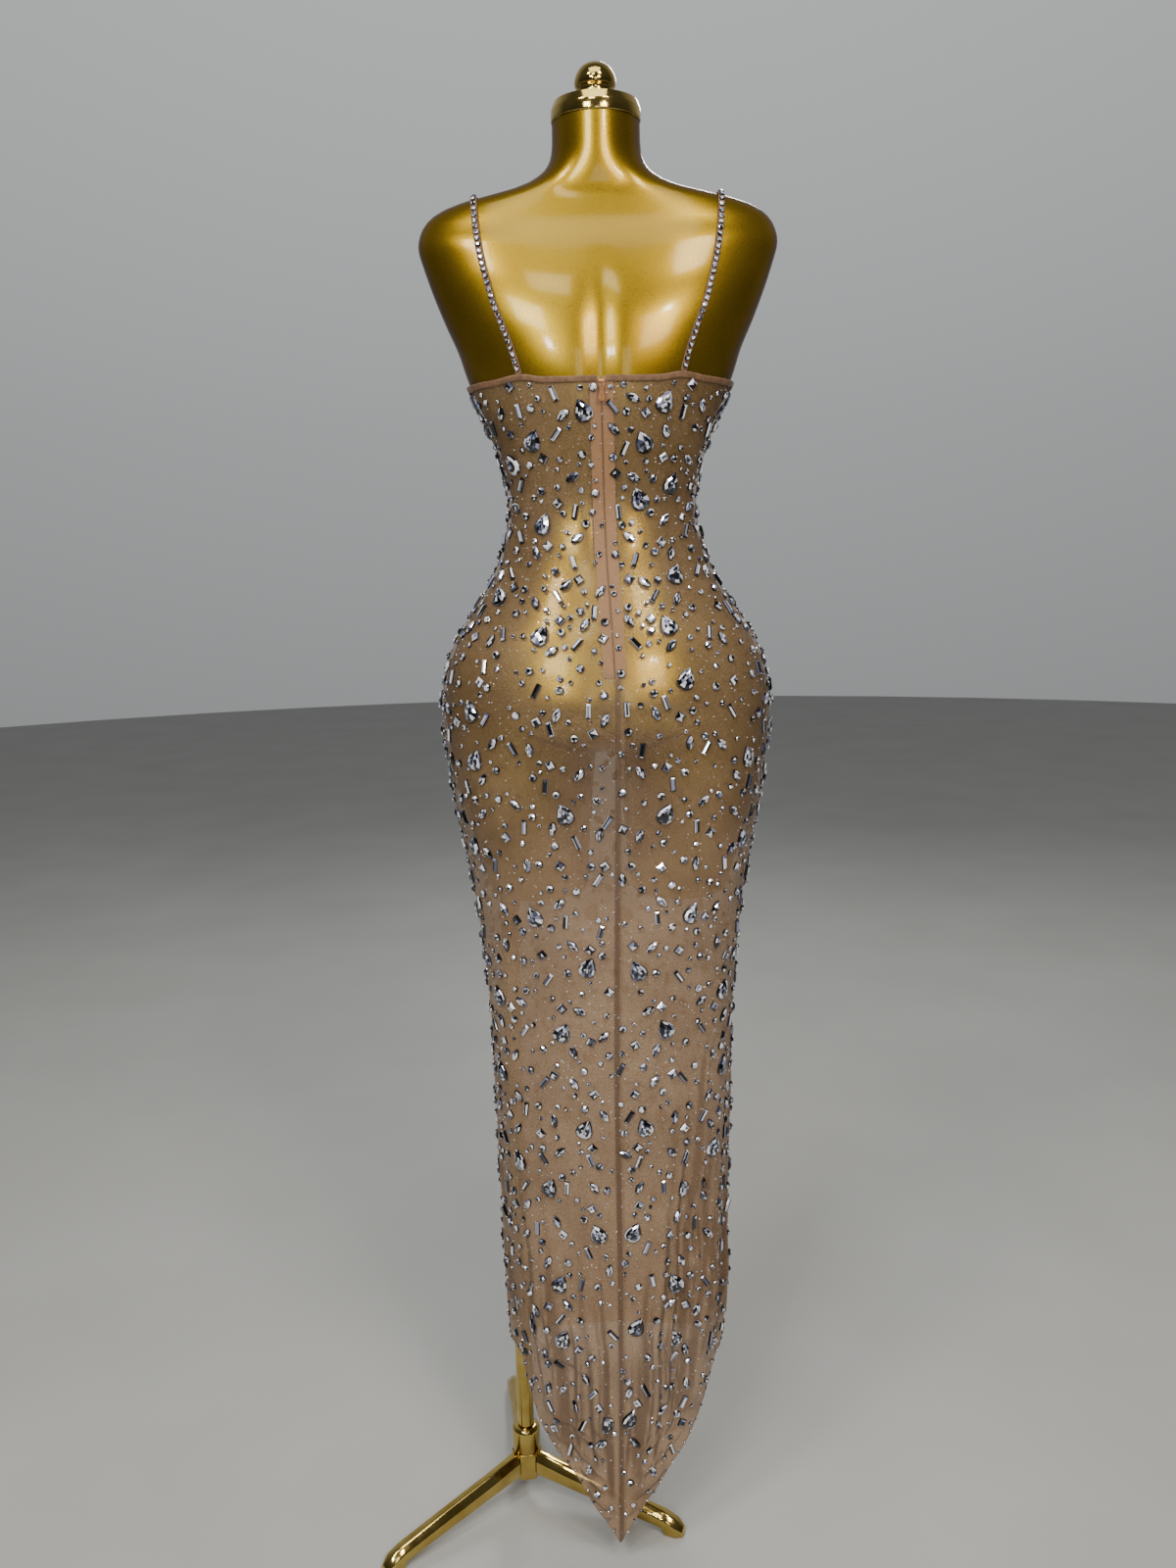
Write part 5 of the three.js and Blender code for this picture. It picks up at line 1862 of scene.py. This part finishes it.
@dataclass
class GoldForm:
    """Limbless form with two thigh ends, its cap and its knob."""

    wardrobe: Wardrobe
    sides: int = 144
    row_step: float = 6
    spine_depth: float = 3.5
    cleft_depth: float = 9

    def torso_face(self, angle: Array, level: Array) -> Array:
        """Gives the form's face, with the hollow of the spine and the cleft of the seat."""
        point = FORM_SECTIONS.point(angle, level)
        x, y = point[..., 0], point[..., 1]
        behind = smooth_step(10, 50, -y)
        beside = np.exp(-((x / 15) ** 2))
        spine = beside * smooth_step(1150, 1240, level) * (1 - smooth_step(1420, 1520, level))
        cleft = np.exp(-((x / 13) ** 2)) * np.exp(-(((level - 975) / 62) ** 2))
        point[..., 1] = y + behind * (self.spine_depth * spine + self.cleft_depth * cleft)
        return point

    def torso(self) -> bpy.types.Object:
        """Makes the torso with its neck."""
        first, last = FORM_SECTIONS.rows[0][0], FORM_SECTIONS.rows[-1][0]
        levels = np.linspace(first, last, int((last - first) / self.row_step) + 1)
        angles = np.arange(0, 360, 360 / self.sides)
        return loft("form_skin", self.torso_face(angles[None, :], levels[:, None]))

    def thigh(self, side: int) -> bpy.types.Object:
        """Makes one thigh, with the edge of its flat end rounded."""
        rows = [(row[0], (row[2] - row[1]) / 2, row[3], row[4], 2) for row in THIGH]
        sections = Sections(rows)
        middle = TableCurve([row[0] for row in THIGH], [(row[1] + row[2]) / 2 for row in THIGH])
        levels = np.concatenate([[815, 815.4, 816.2, 817.4], np.linspace(819, 1030, 24)])
        inset = np.concatenate([[0.965, 0.982, 0.993, 0.999], np.ones(24)])
        angles = np.arange(0, 360, 360 / 96)
        half, back, front, _ = (value[:, None] for value in sections.at(levels))
        c, s = np.cos(np.radians(angles)), np.sin(np.radians(angles))
        deep = np.where(s < 0, back, front)
        x = side * middle(levels)[:, None] + half * c * inset[:, None]
        y = deep * s * inset[:, None]
        z = np.broadcast_to(levels[:, None], x.shape)
        return loft(f"thigh_{side}", np.stack([x, y, z], axis=-1))

    def build(self) -> list[bpy.types.Object]:
        """Makes the form as one skin, and the cap and knob on its neck."""
        form = self.torso()
        for side in (-1, 1):
            thigh = self.thigh(side)
            cut = form.modifiers.new("join", "BOOLEAN")
            cut.operation = "UNION"
            cut.solver = "EXACT"
            cut.object = thigh
            graph = bpy.context.evaluated_depsgraph_get()
            joined = bpy.data.meshes.new_from_object(form.evaluated_get(graph), depsgraph=graph)
            form.modifiers.clear()
            form.data = joined
            bpy.data.objects.remove(thigh)
        form.data.shade_smooth()
        sharpen(form.data, 42)
        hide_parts("form_torso")
        self.wardrobe.dress(form, Slot.LACQUER)
        return [form, self.cap(), self.knob()]

    def cap(self) -> bpy.types.Object:
        """Makes the turned cap, with its rolled lower edge and bevelled top."""
        profile = [
            (46.3, 1646),
            (46.9, 1646.3),
            (47.6, 1647.2),
            (47.8, 1648.2),
            (47.8, 1657),
            (47.5, 1658),
            (45.3, 1664.6),
            (44.7, 1665.7),
            (43.8, 1666),
            (30, 1666.05),
        ]
        piece = turned("cap_disc", profile, (0, NECK_DEPTH))
        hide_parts("neck_cap")
        return self.wardrobe.dress(piece, Slot.METAL)

    def knob(self) -> bpy.types.Object:
        """Makes the knob: a foot, a waist and a flattened ball."""
        foot = [(21.4, 1666.3), (22, 1666.8), (22, 1670.4), (21.4, 1671.2)]
        ball = rounded_profile(
            [
                (19.4, 1673.6),
                (18.9, 1676),
                (19.6, 1679),
                (21.4, 1682),
                (22.1, 1686),
                (21.4, 1690.5),
                (19.4, 1695.3),
                (15.6, 1700.4),
                (9.4, 1704.4),
                (3, 1705.9),
            ]
        )
        piece = turned("cap_knob", [*foot, *ball, (0.6, 1706)], (0, NECK_DEPTH))
        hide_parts("neck_finial")
        return self.wardrobe.dress(piece, Slot.METAL)


@dataclass
class TripodStand:
    """Pole, collar, hub and three cast legs."""

    wardrobe: Wardrobe
    across: float = -119
    pole_radius: float = 10.5

    def build(self) -> list[bpy.types.Object]:
        """Makes the stand's pieces."""
        centre = (self.across, 0.0)
        r = self.pole_radius
        pole = turned("pole_tube", [(r - 0.8, 98.3), (r, 99), (r, 814), (r - 0.6, 814.7)], centre)
        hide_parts("stand_pole")
        rim = 17.7
        collar_rows = [
            (rim - 1.6, 64),
            (rim - 0.4, 64.5),
            (rim, 65.6),
            (rim, 92),
            (rim - 0.5, 94.4),
            (rim - 2.2, 96.6),
            (rim - 4.6, 97.8),
            (rim - 6.4, 98),
        ]
        collar = turned("collar_ring", collar_rows, centre)
        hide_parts("stand_collar")
        hub = softened_copy("hub_block", "stand_hub", 1.4, 3)
        legs = [softened_copy(f"leg_casting_{i}", f"stand_leg_{i}", 1.6, 3) for i in (1, 2, 3)]
        return [self.wardrobe.dress(piece, Slot.METAL) for piece in (pole, collar, hub, *legs)]


def main() -> None:
    """Builds the scene, piece by piece."""
    logging.basicConfig(level=logging.INFO, format="%(name)s: %(message)s")
    Viewpoint().build()
    Studio().build()
    wardrobe = Wardrobe()
    setter = StoneSetter(wardrobe.materials[Slot.CRYSTAL])
    panels = DressPanels(wardrobe).build()
    binding = NeckBinding(wardrobe).build()
    ribbons, strap_stones = Straps(wardrobe).build()
    stones = DressStones(wardrobe, setter).build(strap_stones)
    zip_pieces = BackZip(wardrobe).build(setter)
    setter.clear()
    GoldForm(wardrobe).build()
    TripodStand(wardrobe).build()


if __name__ == "__main__":
    main()
